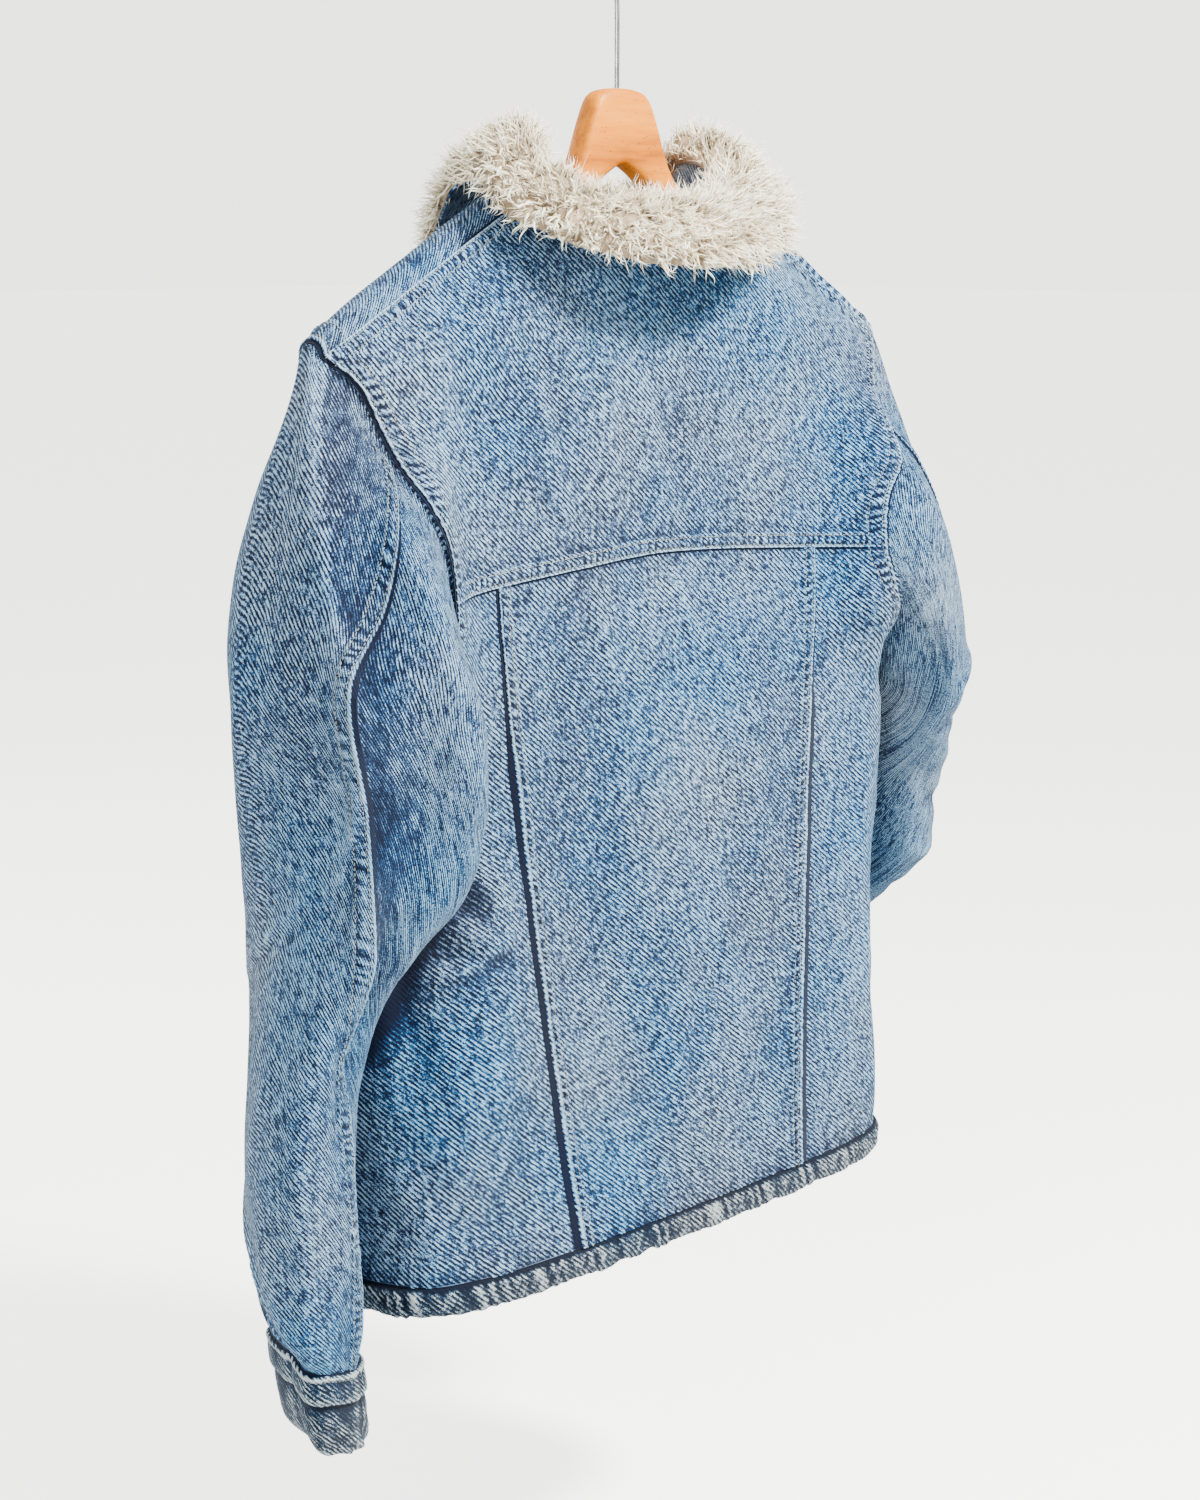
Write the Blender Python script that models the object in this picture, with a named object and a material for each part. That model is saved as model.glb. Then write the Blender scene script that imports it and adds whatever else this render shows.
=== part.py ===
"""A denim jacket with a fleece collar, on a wooden hanger, in metres.

+Z is up, +X is the wearer's left and -Y is the wearer's front. The origin is the inside top of the
hanger's hook, where a rail carries it. The body is two sheets, back and front, worked out from one
table of sections from the hem up to the shoulder; panels are blocks of those sheets. The sleeves are
lofted from the armholes, and the collar is turned along the neck.
"""

import functools
import math
from collections import namedtuple

import bmesh
import bpy
import numpy as np

# Cloth
WALL = 0.0022
SEAM_GAP = 0.0003
BAND_WIDTH = 0.012
BAND_RAISE = 0.0012

# Body
SHOULDER_HALF = 0.270
NECK_HALF = 0.090
SHOULDER_ARC_RISE = 0.8
UNDERARM = 3
YOKE = 4
SHOULDER = 7

# place counts the sections up from the hem's ditch. back and front are the depths from the middle
# plane. square fills out the corners of the oval, and back_square flattens the back between them.
Section = namedtuple("Section", "place height drop half_width back front square back_square")
SECTIONS = (
    Section(0, -0.893, 0.000, 0.258, 0.081, 0.094, 0.22, 0.50),
    Section(1, -0.800, 0.000, 0.261, 0.068, 0.104, 0.22, 0.70),
    Section(2, -0.680, 0.001, 0.264, 0.057, 0.112, 0.24, 0.85),
    Section(3, -0.555, 0.004, 0.270, 0.050, 0.112, 0.28, 0.90),
    Section(4, -0.428, 0.018, 0.266, 0.044, 0.104, 0.30, 0.80),
    Section(5, -0.315, 0.060, 0.266, 0.043, 0.086, 0.30, 0.60),
    Section(6, -0.215, 0.104, 0.270, 0.041, 0.056, 0.32, 0.40),
    Section(7, -0.151, 0.134, 0.276, 0.015, 0.016, 0.50, 0.50),
)

# The armhole's edge on each sheet, as the angle round the oval from its middle.
Armhole = namedtuple("Armhole", "place back_angle front_angle")
ARMHOLE = (
    Armhole(3.00, 90.0, 90.0),
    Armhole(3.12, 72.0, 70.0),
    Armhole(3.50, 52.0, 52.0),
    Armhole(4.00, 44.5, 44.0),
    Armhole(4.45, 46.0, 44.5),
    Armhole(5.00, 53.0, 47.0),
    Armhole(6.00, 60.0, 55.0),
    Armhole(7.00, 63.0, 63.0),
)
SIDE_PLACES = (0.0, 0.3, 0.65, 1.0, 1.33, 1.67, 2.0, 2.33, 2.67, 3.0)
YOKE_SIDE_PLACES = (3.04, 3.13, 3.3, 3.55, 3.78, 4.0)
UPPER_PLACES = (4.4, 4.8, 5.2, 5.6, 6.0, 6.35, 6.7, 7.0)
ARC_PLACES = (7.25, 7.5, 7.75, 8.0)
BACK_PLACES = SIDE_PLACES + YOKE_SIDE_PLACES + UPPER_PLACES
FRONT_PLACES = BACK_PLACES + ARC_PLACES

# The long back seams' distance from the middle.
BackSeam = namedtuple("BackSeam", "place x")
BACK_SEAM = (
    BackSeam(0.0, 0.117),
    BackSeam(1.3, 0.131),
    BackSeam(2.3, 0.145),
    BackSeam(4.0, 0.160),
    BackSeam(7.0, 0.132),
)
CENTRE_CELLS = 4
SIDE_CELLS = 5
NECK_CELLS = 3

# How far up each column near the neck reaches, on the back and on the front; the rows above the floor are
# drawn down to it.
NECK_FLOOR = 4.8
BACK_NECK_TOPS = (6.05, 6.13, 6.42)
FRONT_NECK_TOPS = (5.35, 5.5, 5.95)

# Folds: each runs from one point of the sheet to another, given by angle and height. lift is positive
# for a ridge and negative for a trough.
Fold = namedtuple("Fold", "angle_from z_from angle_to z_to width lift")
DEGREE = 0.0034
BACK_FOLDS = (
    Fold(50, -0.375, 47, -0.485, 0.034, 0.030),
    Fold(-50, -0.375, -47, -0.485, 0.034, 0.030),
    Fold(38, -0.640, 42, -0.760, 0.024, 0.008),
    Fold(42, -0.760, 57, -0.870, 0.022, 0.007),
    Fold(60, -0.660, 66, -0.800, 0.030, -0.008),
    Fold(4, -0.480, -4, -0.870, 0.022, 0.004),
    Fold(15, -0.620, 12, -0.830, 0.026, -0.003),
    Fold(-16, -0.500, -13, -0.800, 0.026, 0.003),
    Fold(-44, -0.590, -47, -0.860, 0.024, 0.005),
    Fold(-62, -0.680, -60, -0.820, 0.028, -0.005),
    Fold(8, -0.300, 12, -0.430, 0.020, 0.003),
    Fold(-14, -0.300, -10, -0.430, 0.020, -0.003),
    Fold(30, -0.330, 14, -0.260, 0.022, -0.004),
)
FRONT_FOLDS = (
    Fold(30, -0.420, 34, -0.860, 0.026, 0.006),
    Fold(-28, -0.460, -36, -0.850, 0.026, 0.006),
    Fold(56, -0.600, 60, -0.860, 0.030, -0.008),
    Fold(-58, -0.620, -56, -0.840, 0.028, -0.007),
)

# Sleeves, down from the armhole. inner and outer are the ends of each section beside the body and away
# from it, y is its middle and half its half width front to back. turn swings its front in, and pitch
# drops its back where the arm runs forward.
SleeveSection = namedtuple("SleeveSection", "place inner_x inner_z outer_x outer_z y half turn pitch")
ARMHOLE_OVAL = SleeveSection(-1, 0.272, -0.556, 0.272, -0.284, 0.004, 0.080, 0, 0)
LEFT_SLEEVE = (
    SleeveSection(0, 0.275, -0.560, 0.290, -0.318, 0.012, 0.086, -4, 0),
    SleeveSection(1, 0.276, -0.572, 0.304, -0.360, 0.024, 0.088, -10, 0),
    SleeveSection(2, 0.275, -0.586, 0.315, -0.415, 0.040, 0.086, -18, 0),
    SleeveSection(3, 0.273, -0.604, 0.325, -0.480, 0.055, 0.080, -23, 0),
    SleeveSection(4, 0.271, -0.628, 0.335, -0.550, 0.056, 0.074, -17, 0),
    SleeveSection(5, 0.270, -0.654, 0.345, -0.620, 0.043, 0.069, 3, 0),
    SleeveSection(6, 0.272, -0.692, 0.352, -0.680, 0.030, 0.069, 18, 0),
    SleeveSection(7, 0.274, -0.745, 0.355, -0.740, 0.023, 0.069, 26, 0),
    SleeveSection(8, 0.275, -0.800, 0.355, -0.800, 0.021, 0.068, 28, 0),
    SleeveSection(9, 0.275, -0.858, 0.353, -0.852, 0.022, 0.064, 27, 0),
    SleeveSection(10, 0.276, -0.905, 0.347, -0.890, 0.022, 0.057, 25, 0),
    SleeveSection(11, 0.277, -0.930, 0.338, -0.910, 0.022, 0.048, 25, 0),
)
RIGHT_SLEEVE = (
    SleeveSection(0, 0.276, -0.560, 0.290, -0.318, 0.006, 0.084, 0, 0),
    SleeveSection(1, 0.279, -0.568, 0.302, -0.362, 0.008, 0.084, 0, 0),
    SleeveSection(2, 0.281, -0.578, 0.313, -0.415, 0.009, 0.082, 0, 0),
    SleeveSection(3, 0.281, -0.590, 0.322, -0.470, 0.008, 0.079, 0, 0),
    SleeveSection(4, 0.281, -0.604, 0.331, -0.525, 0.002, 0.076, 0, 0),
    SleeveSection(5, 0.281, -0.622, 0.337, -0.580, -0.006, 0.072, 0, 6),
    SleeveSection(6, 0.280, -0.648, 0.340, -0.632, -0.014, 0.070, 0, 18),
    SleeveSection(7, 0.273, -0.685, 0.336, -0.680, -0.036, 0.069, 0, 36),
    SleeveSection(8, 0.262, -0.728, 0.328, -0.728, -0.080, 0.066, 0, 42),
    SleeveSection(9, 0.250, -0.772, 0.314, -0.772, -0.120, 0.063, 0, 38),
    SleeveSection(10, 0.240, -0.822, 0.302, -0.822, -0.152, 0.058, 0, 28),
    SleeveSection(11, 0.237, -0.862, 0.292, -0.862, -0.172, 0.049, 0, 20),
)
SLEEVE_PLACES = (0, 1, 2, 3, 4, 5, 5.5, 6, 6.5, 7, 7.7, 8.4, 9.1, 9.8, 10.4, 11)
ARMHOLE_HOLD = (0.80, 0.55, 0.34, 0.18, 0.08, 0.02)
TURN_SLIDE = 0.3
SLEEVE_SQUARE = 0.10
UNDERARM_ROLL = 0.004
ROLL_REACH = 75
ROLL_EASE = 0.7
ROLL_LEAN = 0.4
ARMHOLE_STEP = 0.006
SLEEVE_CLEAR = 0.0035
CLEAR_FROM = -0.515
BACK_SLEEVE_SEAM = 9
FRONT_SLEEVE_SEAM = 29
FRONT_SEAM_TURN = 312

# Where the sleeve's back seam runs: its turn in degrees from the underarm over the back.
SeamTurn = namedtuple("SeamTurn", "place left right")
SEAM_TURNS = (
    SeamTurn(0, 132, 132),
    SeamTurn(1, 144, 134),
    SeamTurn(2, 159, 136),
    SeamTurn(3, 166, 138),
    SeamTurn(4, 146, 138),
    SeamTurn(5, 114, 138),
    SeamTurn(6, 86, 138),
    SeamTurn(7, 62, 136),
    SeamTurn(8, 52, 134),
    SeamTurn(11, 46, 130),
)

# Sleeve folds run from one place and turn to another; turn is in degrees from the underarm over the back.
SleeveFold = namedtuple("SleeveFold", "place_from turn_from place_to turn_to width lift")
LEFT_SLEEVE_FOLDS = (
    SleeveFold(1.8, 180, 6.0, 102, 14, 0.007),
    SleeveFold(2.2, 156, 6.0, 74, 13, -0.010),
    SleeveFold(2.0, 88, 4.2, 64, 24, 0.006),
    SleeveFold(6.8, 120, 9.4, 110, 14, 0.004),
    SleeveFold(9.0, 158, 10.3, 118, 14, 0.005),
    SleeveFold(9.6, 190, 11.0, 150, 13, -0.004),
    SleeveFold(8.6, 62, 10.4, 24, 15, 0.004),
    SleeveFold(5.4, 190, 6.6, 220, 18, -0.004),
)
RIGHT_SLEEVE_FOLDS = (
    SleeveFold(3.4, 50, 3.9, 150, 12, 0.005),
    SleeveFold(5.6, 60, 6.0, 165, 14, -0.006),
    SleeveFold(6.5, 60, 6.9, 165, 13, 0.008),
    SleeveFold(7.3, 70, 7.5, 170, 13, -0.006),
    SleeveFold(3.0, 160, 5.2, 190, 18, -0.005),
    SleeveFold(9.2, 150, 10.6, 90, 15, 0.004),
)
PLACE_DEGREES = 16.0

# Cuffs: rings down from the sleeve's end, each by its distance, how far it stands out and its size.
CuffRing = namedtuple("CuffRing", "distance out scale")
CUFF = (
    CuffRing(0.0003, 0.0004, 1.00),
    CuffRing(0.0028, 0.0026, 1.00),
    CuffRing(0.0215, 0.0028, 1.00),
    CuffRing(0.0240, 0.0006, 1.00),
    CuffRing(0.0440, 0.0012, 0.99),
    CuffRing(0.0620, 0.0002, 0.95),
)

# Turned-up hem: rows down from the ditch, each by its distance, how far it stands out and its share of
# the gathers' depth.
HemRow = namedtuple("HemRow", "distance out gathered")
HEM = (
    HemRow(0.0003, 0.0002, 0.6),
    HemRow(0.0045, 0.0028, 1.0),
    HemRow(0.0125, 0.0034, 0.7),
    HemRow(0.0200, 0.0016, 0.3),
)
HEM_INSIDE = -0.0030
HEM_ROUND = 0.0015
BACK_GATHERS = 30
FRONT_GATHERS = 12
GATHER_DEPTH = 0.0010

# Collar, from the back's middle (place 0) to the front's end (place 1): how high it stands, how far its
# leaf reaches out and how far the leaf falls below the top of the stand. The roll between them is drawn by
# COLLAR_LEAN, how far the stand leans in, and shares of the stand's height and the leaf's reach.
CollarSection = namedtuple("CollarSection", "place stand out fall")
COLLAR = (
    CollarSection(0.00, 0.011, 0.046, 0.035),
    CollarSection(0.25, 0.011, 0.043, 0.029),
    CollarSection(0.45, 0.011, 0.049, 0.018),
    CollarSection(0.60, 0.012, 0.060, 0.020),
    CollarSection(0.80, 0.013, 0.058, 0.044),
    CollarSection(1.00, 0.012, 0.046, 0.066),
)
COLLAR_LEAN = 0.006
COLLAR_RISE = 1.35
STAND_PULL = 0.75
ROLL_OUT_PULL = 0.45
ROLL_UP_PULL = 1.15
COLLAR_GAP_HALF = 0.012
COLLAR_CLEAR = 0.0004
COLLAR_STEPS = 8
LONG_STEP = 0.022
NECK_OVAL_X = 0.095
NECK_OVAL_Y = 0.070
UNDER_COLLAR_WALL = 0.0016
FLEECE_DEPTH = 0.0135
FLEECE_EDGE = 0.35
FLEECE_LUMP = 0.0010
LUMP_TURN = 2.399

# Front closing
BUTTON_BAND_HALF = 0.019
BUTTON_BAND_WALL = 0.0018
BAND_CLEAR = 0.0005
BAND_TOP_SHARE = 0.4
BUTTON_CLEAR = 0.0003
BUTTON_SIDES = 12
BUTTON_PLACES = (0.35, 1.15, 1.95, 2.75, 3.6, 4.45)
BUTTON_RADIUS = 0.0085
BUTTON_HEIGHT = 0.004
BUTTON_EDGE = 0.6
BUTTON_FACE = 0.8

# Hanger: place is the distance from its middle, and corner rounds the section, 1 being an oval. The arms'
# outer lengths lie along the shoulders.
HangerSection = namedtuple("HangerSection", "place top height half_depth corner")
HANGER_MIDDLE = (
    HangerSection(0.000, -0.1150, 0.0510, 0.0100, 0.5),
    HangerSection(0.014, -0.1160, 0.0560, 0.0100, 0.5),
    HangerSection(0.024, -0.1200, 0.0590, 0.0100, 0.5),
    HangerSection(0.031, -0.1340, 0.0510, 0.0100, 0.5),
    HangerSection(0.042, -0.1610, 0.0330, 0.0098, 0.6),
    HangerSection(0.056, -0.1800, 0.0270, 0.0095, 0.7),
    HangerSection(0.074, -0.1860, 0.0300, 0.0090, 0.9),
    HangerSection(0.095, -0.1895, 0.0300, 0.0088, 1.0),
    HangerSection(0.122, -0.1960, 0.0290, 0.0086, 1.0),
)
ARM_STATIONS = (0.155, 0.175, 0.195, 0.212, 0.220)
ARM_HEIGHT = 0.028
ARM_HALF_DEPTH = 0.0084
ARM_END = 0.45
HANGER_CLEAR = 0.0006
ARM_CLOTH = 1.2
ARM_CORNER = 1.0
HANGER_SIDES = 14
WOOD_TOP = HANGER_MIDDLE[0].top
HOOK_RADIUS = 0.0215
WIRE_RADIUS = 0.0018
WIRE_SIDES = 10
HOOK_START = -62
HOOK_END = 205
HOOK_STEPS = 18
HOOK_BEND = -0.060
HOOK_EASE_OUT = 0.0026
HOOK_EASE_UP = 0.006


@functools.lru_cache(maxsize=None)
def column_curve(rows, name):
    keys = np.array([row.place for row in rows], float)
    values = np.array([getattr(row, name) for row in rows], float)
    return keys, values, np.gradient(values, keys)


def column(rows, name, at):
    """A column of a table, read between its rows along a smooth curve."""
    keys, values, slopes = column_curve(rows, name)
    low = int(np.clip(np.searchsorted(keys, at, "right") - 1, 0, len(keys) - 2))
    step = keys[low + 1] - keys[low]
    s = (at - keys[low]) / step
    return (
        values[low] * (1 + 2 * s) * (1 - s) ** 2
        + slopes[low] * step * s * (1 - s) ** 2
        + values[low + 1] * s * s * (3 - 2 * s)
        + slopes[low + 1] * step * s * s * (s - 1)
    )


def unit(vectors):
    length = np.linalg.norm(vectors, axis=-1, keepdims=True)
    return vectors / np.maximum(length, 1e-9)


def shoulder_fall(x):
    """How much of a section's drop has been reached at x: level at the neck, then straight down."""
    ratio = abs(x) / SHOULDER_HALF
    return 1.25 * ratio * ratio / (ratio + 0.25)


def plain_point(side, place, angle):
    """A point of the smooth sheet: side is 1 for the back and -1 for the front, angle in degrees."""
    width = column(SECTIONS, "half_width", place)
    depth = column(SECTIONS, "back" if side > 0 else "front", place)
    square = column(SECTIONS, "square", place)
    across = math.sin(math.radians(angle))
    along = math.cos(math.radians(angle))
    x = width * across * (1 + square * along**2)
    y = depth * along * (1 + (column(SECTIONS, "back_square", place) if side > 0 else square) * across**2)
    z = column(SECTIONS, "height", place) - column(SECTIONS, "drop", place) * shoulder_fall(x)
    return np.array((x, side * y, z))


def fold_lift(folds, angle, z):
    """The folds' height at a point of the sheet, each fading out past its ends and its width."""
    total = 0.0
    for fold in folds:
        ends = np.array(((fold.angle_from * DEGREE, fold.z_from), (fold.angle_to * DEGREE, fold.z_to)))
        run = ends[1] - ends[0]
        point = np.array((angle * DEGREE, z)) - ends[0]
        share = np.clip(point @ run / (run @ run), 0, 1)
        away = np.linalg.norm(point - share * run) / fold.width
        total += fold.lift * math.exp(-away * away)
    return total


def angle_at_x(side, place, x):
    angles = np.linspace(0, 90, 181)
    return float(np.interp(x, [plain_point(side, place, a)[0] for a in angles], angles))


def edge_angle(side, place):
    """The sheet's outer edge: the side seam up to the underarm, then the armhole."""
    if place <= UNDERARM:
        return 90.0
    rooted = tuple(row._replace(place=math.sqrt(row.place - UNDERARM)) for row in ARMHOLE)
    name = "back_angle" if side > 0 else "front_angle"
    return column(rooted, name, math.sqrt(place - UNDERARM))


def degrees_for(side, place, angle, length):
    """The turn round the section that covers this length at this angle."""
    step = 2.0
    speed = np.linalg.norm(plain_point(side, place, angle) - plain_point(side, place, angle - step)) / step
    return length / speed


def back_angles(place):
    """Column angles of the back sheet at one row, from the middle out to the edge."""
    edge = edge_angle(1, place)
    band = edge - degrees_for(1, place, edge, BAND_WIDTH)
    seam = angle_at_x(1, place, column(BACK_SEAM, "x", place))
    strip = seam - degrees_for(1, place, seam, BAND_WIDTH)
    inner = [strip * i / CENTRE_CELLS for i in range(CENTRE_CELLS)]
    outer = [seam + (band - seam) * i / SIDE_CELLS for i in range(SIDE_CELLS)]
    return inner + [strip] + outer + [band, edge]


def front_angles(place):
    """Column angles of one front, from the closing out to the edge."""
    edge = edge_angle(-1, place)
    band = edge - degrees_for(-1, place, edge, BAND_WIDTH)
    corner = band * angle_at_x(-1, SHOULDER, NECK_HALF) / edge_angle(-1, SHOULDER)
    cells = CENTRE_CELLS + SIDE_CELLS + 1 - NECK_CELLS
    inner = [corner * i / NECK_CELLS for i in range(NECK_CELLS)]
    outer = [corner + (band - corner) * i / cells for i in range(cells)]
    return inner + outer + [band, edge]


def neck_place(place, top):
    """Near the neck, rows above the floor are drawn down to end on its edge."""
    if place <= NECK_FLOOR:
        return place
    return NECK_FLOOR + (place - NECK_FLOOR) * (top - NECK_FLOOR) / (SHOULDER - NECK_FLOOR)


def sheet_point(side, place, angle):
    point = plain_point(side, place, angle)
    around = unit(plain_point(side, place, angle + 1) - plain_point(side, place, angle - 1))
    above, below = min(place + 0.05, SHOULDER), max(place - 0.05, 0)
    up = unit(plain_point(side, above, angle) - plain_point(side, below, angle))
    normal = unit(np.cross(around, up)) * -side
    folds = BACK_FOLDS if side > 0 else FRONT_FOLDS
    return point + normal * fold_lift(folds, angle, point[2]), normal


def half_sheet(side, mirror, places, angles_at, neck_tops):
    """One half of a sheet as a grid of points and normals: rows by columns, from the middle out.

    Rows past the shoulder's place stay there, to be carried over it.
    """
    grid = []
    for place in places:
        reached = min(place, SHOULDER)
        row = []
        for i, angle in enumerate(angles_at(reached)):
            here = reached
            if i < NECK_CELLS:
                here = neck_place(reached, neck_tops[i])
                angle = angles_at(here)[i]
            row.append(sheet_point(side, here, mirror * angle))
        grid.append(row)
    return np.array([[p for p, _ in row] for row in grid]), np.array([[n for _, n in row] for row in grid])


def carry_over_shoulder(points, normals, seam_points, seam_normals):
    """Bends a front's last rows over the shoulder's ridge to the seam, which the back's top row gives."""
    first = FRONT_PLACES.index(SHOULDER)
    for i in range(NECK_CELLS, points.shape[1]):
        front, back = points[first, i].copy(), seam_points[i]
        reach = (front - back) / 2
        rise = np.array((0, 0, np.linalg.norm(reach) * SHOULDER_ARC_RISE))
        for row in range(first, len(FRONT_PLACES)):
            turn = math.pi * (FRONT_PLACES[row] - SHOULDER)
            points[row, i] = (front + back) / 2 + reach * math.cos(turn) + rise * math.sin(turn)
    carried = points[first:, NECK_CELLS:]
    over = unit(np.cross(np.gradient(carried, axis=1), np.gradient(carried, axis=0)))
    over *= np.sign(over[1:2, :, 2:3])
    normals[first, NECK_CELLS:] = unit(normals[first, NECK_CELLS:] + over[0])
    normals[first + 1 :, NECK_CELLS:] = over[1:]
    normals[-1, NECK_CELLS:] = seam_normals[NECK_CELLS:]


def tube_normals(rings):
    """Outward normals of a tube's rings of points."""
    around = np.roll(rings, -1, axis=1) - np.roll(rings, 1, axis=1)
    normals = unit(np.cross(around, np.gradient(rings, axis=0)))
    outward = rings - rings.mean(axis=1, keepdims=True)
    return normals * np.sign((normals * outward).sum())


def pull_in(points, inner, which):
    """Draws an edge in by half the seam's gap, so that two pieces that share it stand clear."""
    for axis, end in which:
        edge = [slice(None)] * 2
        beside = [slice(None)] * 2
        edge[axis] = end
        beside[axis] = 1 if end == 0 else -2
        along = unit(np.gradient(points[tuple(edge)], axis=0))
        inward = points[tuple(beside)] - points[tuple(edge)]
        inward -= along * (inward * along).sum(axis=1, keepdims=True)
        step = unit(inward) * SEAM_GAP / 2
        points[tuple(edge)] += step
        inner[tuple(edge)] += step


def material(name, colour, roughness, metallic=0.0):
    made = bpy.data.materials.new(name)
    made.use_nodes = True
    shader = made.node_tree.nodes["Principled BSDF"]
    shader.inputs["Base Color"].default_value = (*colour, 1.0)
    shader.inputs["Roughness"].default_value = roughness
    shader.inputs["Metallic"].default_value = metallic
    return made


def add_object(name, vertices, faces, finish):
    mesh = bpy.data.meshes.new(name)
    mesh.from_pydata([tuple(v) for v in vertices], [], faces)
    shape = bmesh.new()
    shape.from_mesh(mesh)
    bmesh.ops.recalc_face_normals(shape, faces=shape.faces)
    bmesh.ops.triangulate(shape, faces=shape.faces)
    if shape.calc_volume(signed=True) < 0:
        bmesh.ops.reverse_faces(shape, faces=shape.faces)
    shape.to_mesh(mesh)
    shape.free()
    mesh.shade_smooth()
    mesh.set_sharp_from_angle(angle=math.radians(40))
    mesh.materials.append(finish)
    made = bpy.data.objects.new(name, mesh)
    bpy.context.scene.collection.objects.link(made)
    return made


def add_wall(name, outer, inner, finish, wrap=False, left_out=None):
    """A wall of cloth between two grids of points, closed along its edges.

    wrap joins its last column to its first, and left_out is a block of cells (rows, columns) not built.
    """
    rows, columns = outer.shape[:2]
    vertices = np.concatenate((outer.reshape(-1, 3), inner.reshape(-1, 3)))
    built = np.ones((rows - 1, columns if wrap else columns - 1), bool)
    if left_out:
        built[left_out] = False

    def at(i, j, layer=0):
        return (layer * rows + i) * columns + j % columns

    faces = []
    for i, j in zip(*np.nonzero(built)):
        corners = ((i, j), (i, j + 1), (i + 1, j + 1), (i + 1, j))
        faces.append([at(*corner) for corner in corners])
        faces.append([at(*corner, 1) for corner in reversed(corners)])
        across = (j - 1) % columns, (j + 1) % columns
        beside = (
            i > 0 and built[i - 1, j],
            built[i, across[1]] if across[1] < built.shape[1] and (wrap or j + 1 < columns - 1) else False,
            i + 1 < rows - 1 and built[i + 1, j],
            built[i, across[0]] if wrap or j > 0 else False,
        )
        for k, joined in enumerate(beside):
            if not joined:
                start, stop = corners[k], corners[(k + 1) % 4]
                faces.append((at(*stop), at(*start), at(*start, 1), at(*stop, 1)))
    used = sorted({v for face in faces for v in face})
    number = {v: n for n, v in enumerate(used)}
    return add_object(name, vertices[used], [[number[v] for v in face] for face in faces], finish)


def add_panel(name, points, normals, raised, edges, finish, left_out=None):
    """A panel: its outer points stand proud where raised, over a plain inside."""
    outer = points + normals * raised[..., None]
    inner = points - normals * WALL
    pull_in(outer, inner, edges)
    return add_wall(name, outer, inner, finish, left_out=left_out)


ALL_EDGES = ((0, 0), (0, -1), (1, 0), (1, -1))

for old in list(bpy.data.objects):
    bpy.data.objects.remove(old)

denim = material("denim", (0.36, 0.49, 0.64), 0.9)
fleece = material("fleece", (0.86, 0.83, 0.76), 1.0)
wood = material("beech", (0.72, 0.45, 0.21), 0.45)
steel = material("steel", (0.55, 0.54, 0.52), 0.3, 1.0)

# Back sheet: both halves joined at the middle column, from the wearer's right to the left.
left_points, left_normals = half_sheet(1, 1, BACK_PLACES, back_angles, BACK_NECK_TOPS)
right_points, right_normals = half_sheet(1, -1, BACK_PLACES, back_angles, BACK_NECK_TOPS)
back_points = np.concatenate((right_points[:, :0:-1], left_points), axis=1)
back_normals = np.concatenate((right_normals[:, :0:-1], left_normals), axis=1)
middle = left_points.shape[1] - 1
strip_column = CENTRE_CELLS
seam_column = CENTRE_CELLS + 1
yoke_row = BACK_PLACES.index(YOKE)
band_start = BACK_PLACES.index(YOKE_SIDE_PLACES[2])


def add_back_panels():
    yoke_raise = np.zeros(back_points[yoke_row:].shape[:2])
    yoke_raise[0] = BAND_RAISE
    yoke_raise[-1] = BAND_RAISE
    yoke_raise[:, :2] = BAND_RAISE
    yoke_raise[:, -2:] = BAND_RAISE
    add_panel("back_yoke", back_points[yoke_row:], back_normals[yoke_row:], yoke_raise, ALL_EDGES, denim)
    low = slice(0, yoke_row + 1)
    centre = slice(middle - seam_column, middle + seam_column + 1)
    centre_raise = np.zeros(back_points[low, centre].shape[:2])
    centre_raise[:, :2] = BAND_RAISE
    centre_raise[:, -2:] = BAND_RAISE
    centre_points, centre_normals = back_points[low, centre], back_normals[low, centre]
    add_panel("back_centre", centre_points, centre_normals, centre_raise, ALL_EDGES, denim)
    for name, block, end in (
        ("back_side_right", slice(0, middle - seam_column + 1), slice(0, 2)),
        ("back_side_left", slice(middle + seam_column, None), slice(-2, None)),
    ):
        side_raise = np.zeros(back_points[low, block].shape[:2])
        side_raise[band_start:, end] = BAND_RAISE
        add_panel(name, back_points[low, block], back_normals[low, block], side_raise, ALL_EDGES, denim)


add_back_panels()

# Fronts, closed at the middle, each bent over its shoulder to the seam.
fronts = {}
for name, mirror, back_half, back_half_normals in (
    ("front_left", 1, left_points, left_normals),
    ("front_right", -1, right_points, right_normals),
):
    points, normals = half_sheet(-1, mirror, FRONT_PLACES, front_angles, FRONT_NECK_TOPS)
    carry_over_shoulder(points, normals, back_half[-1], back_half_normals[-1])
    raised = np.zeros(points.shape[:2])
    raised[band_start:, -2:] = BAND_RAISE
    neck = (slice(FRONT_PLACES.index(SHOULDER), None), slice(0, NECK_CELLS))
    add_panel(name, points, normals, raised, ALL_EDGES, denim, left_out=neck)
    fronts[name] = (points, normals)


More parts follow.
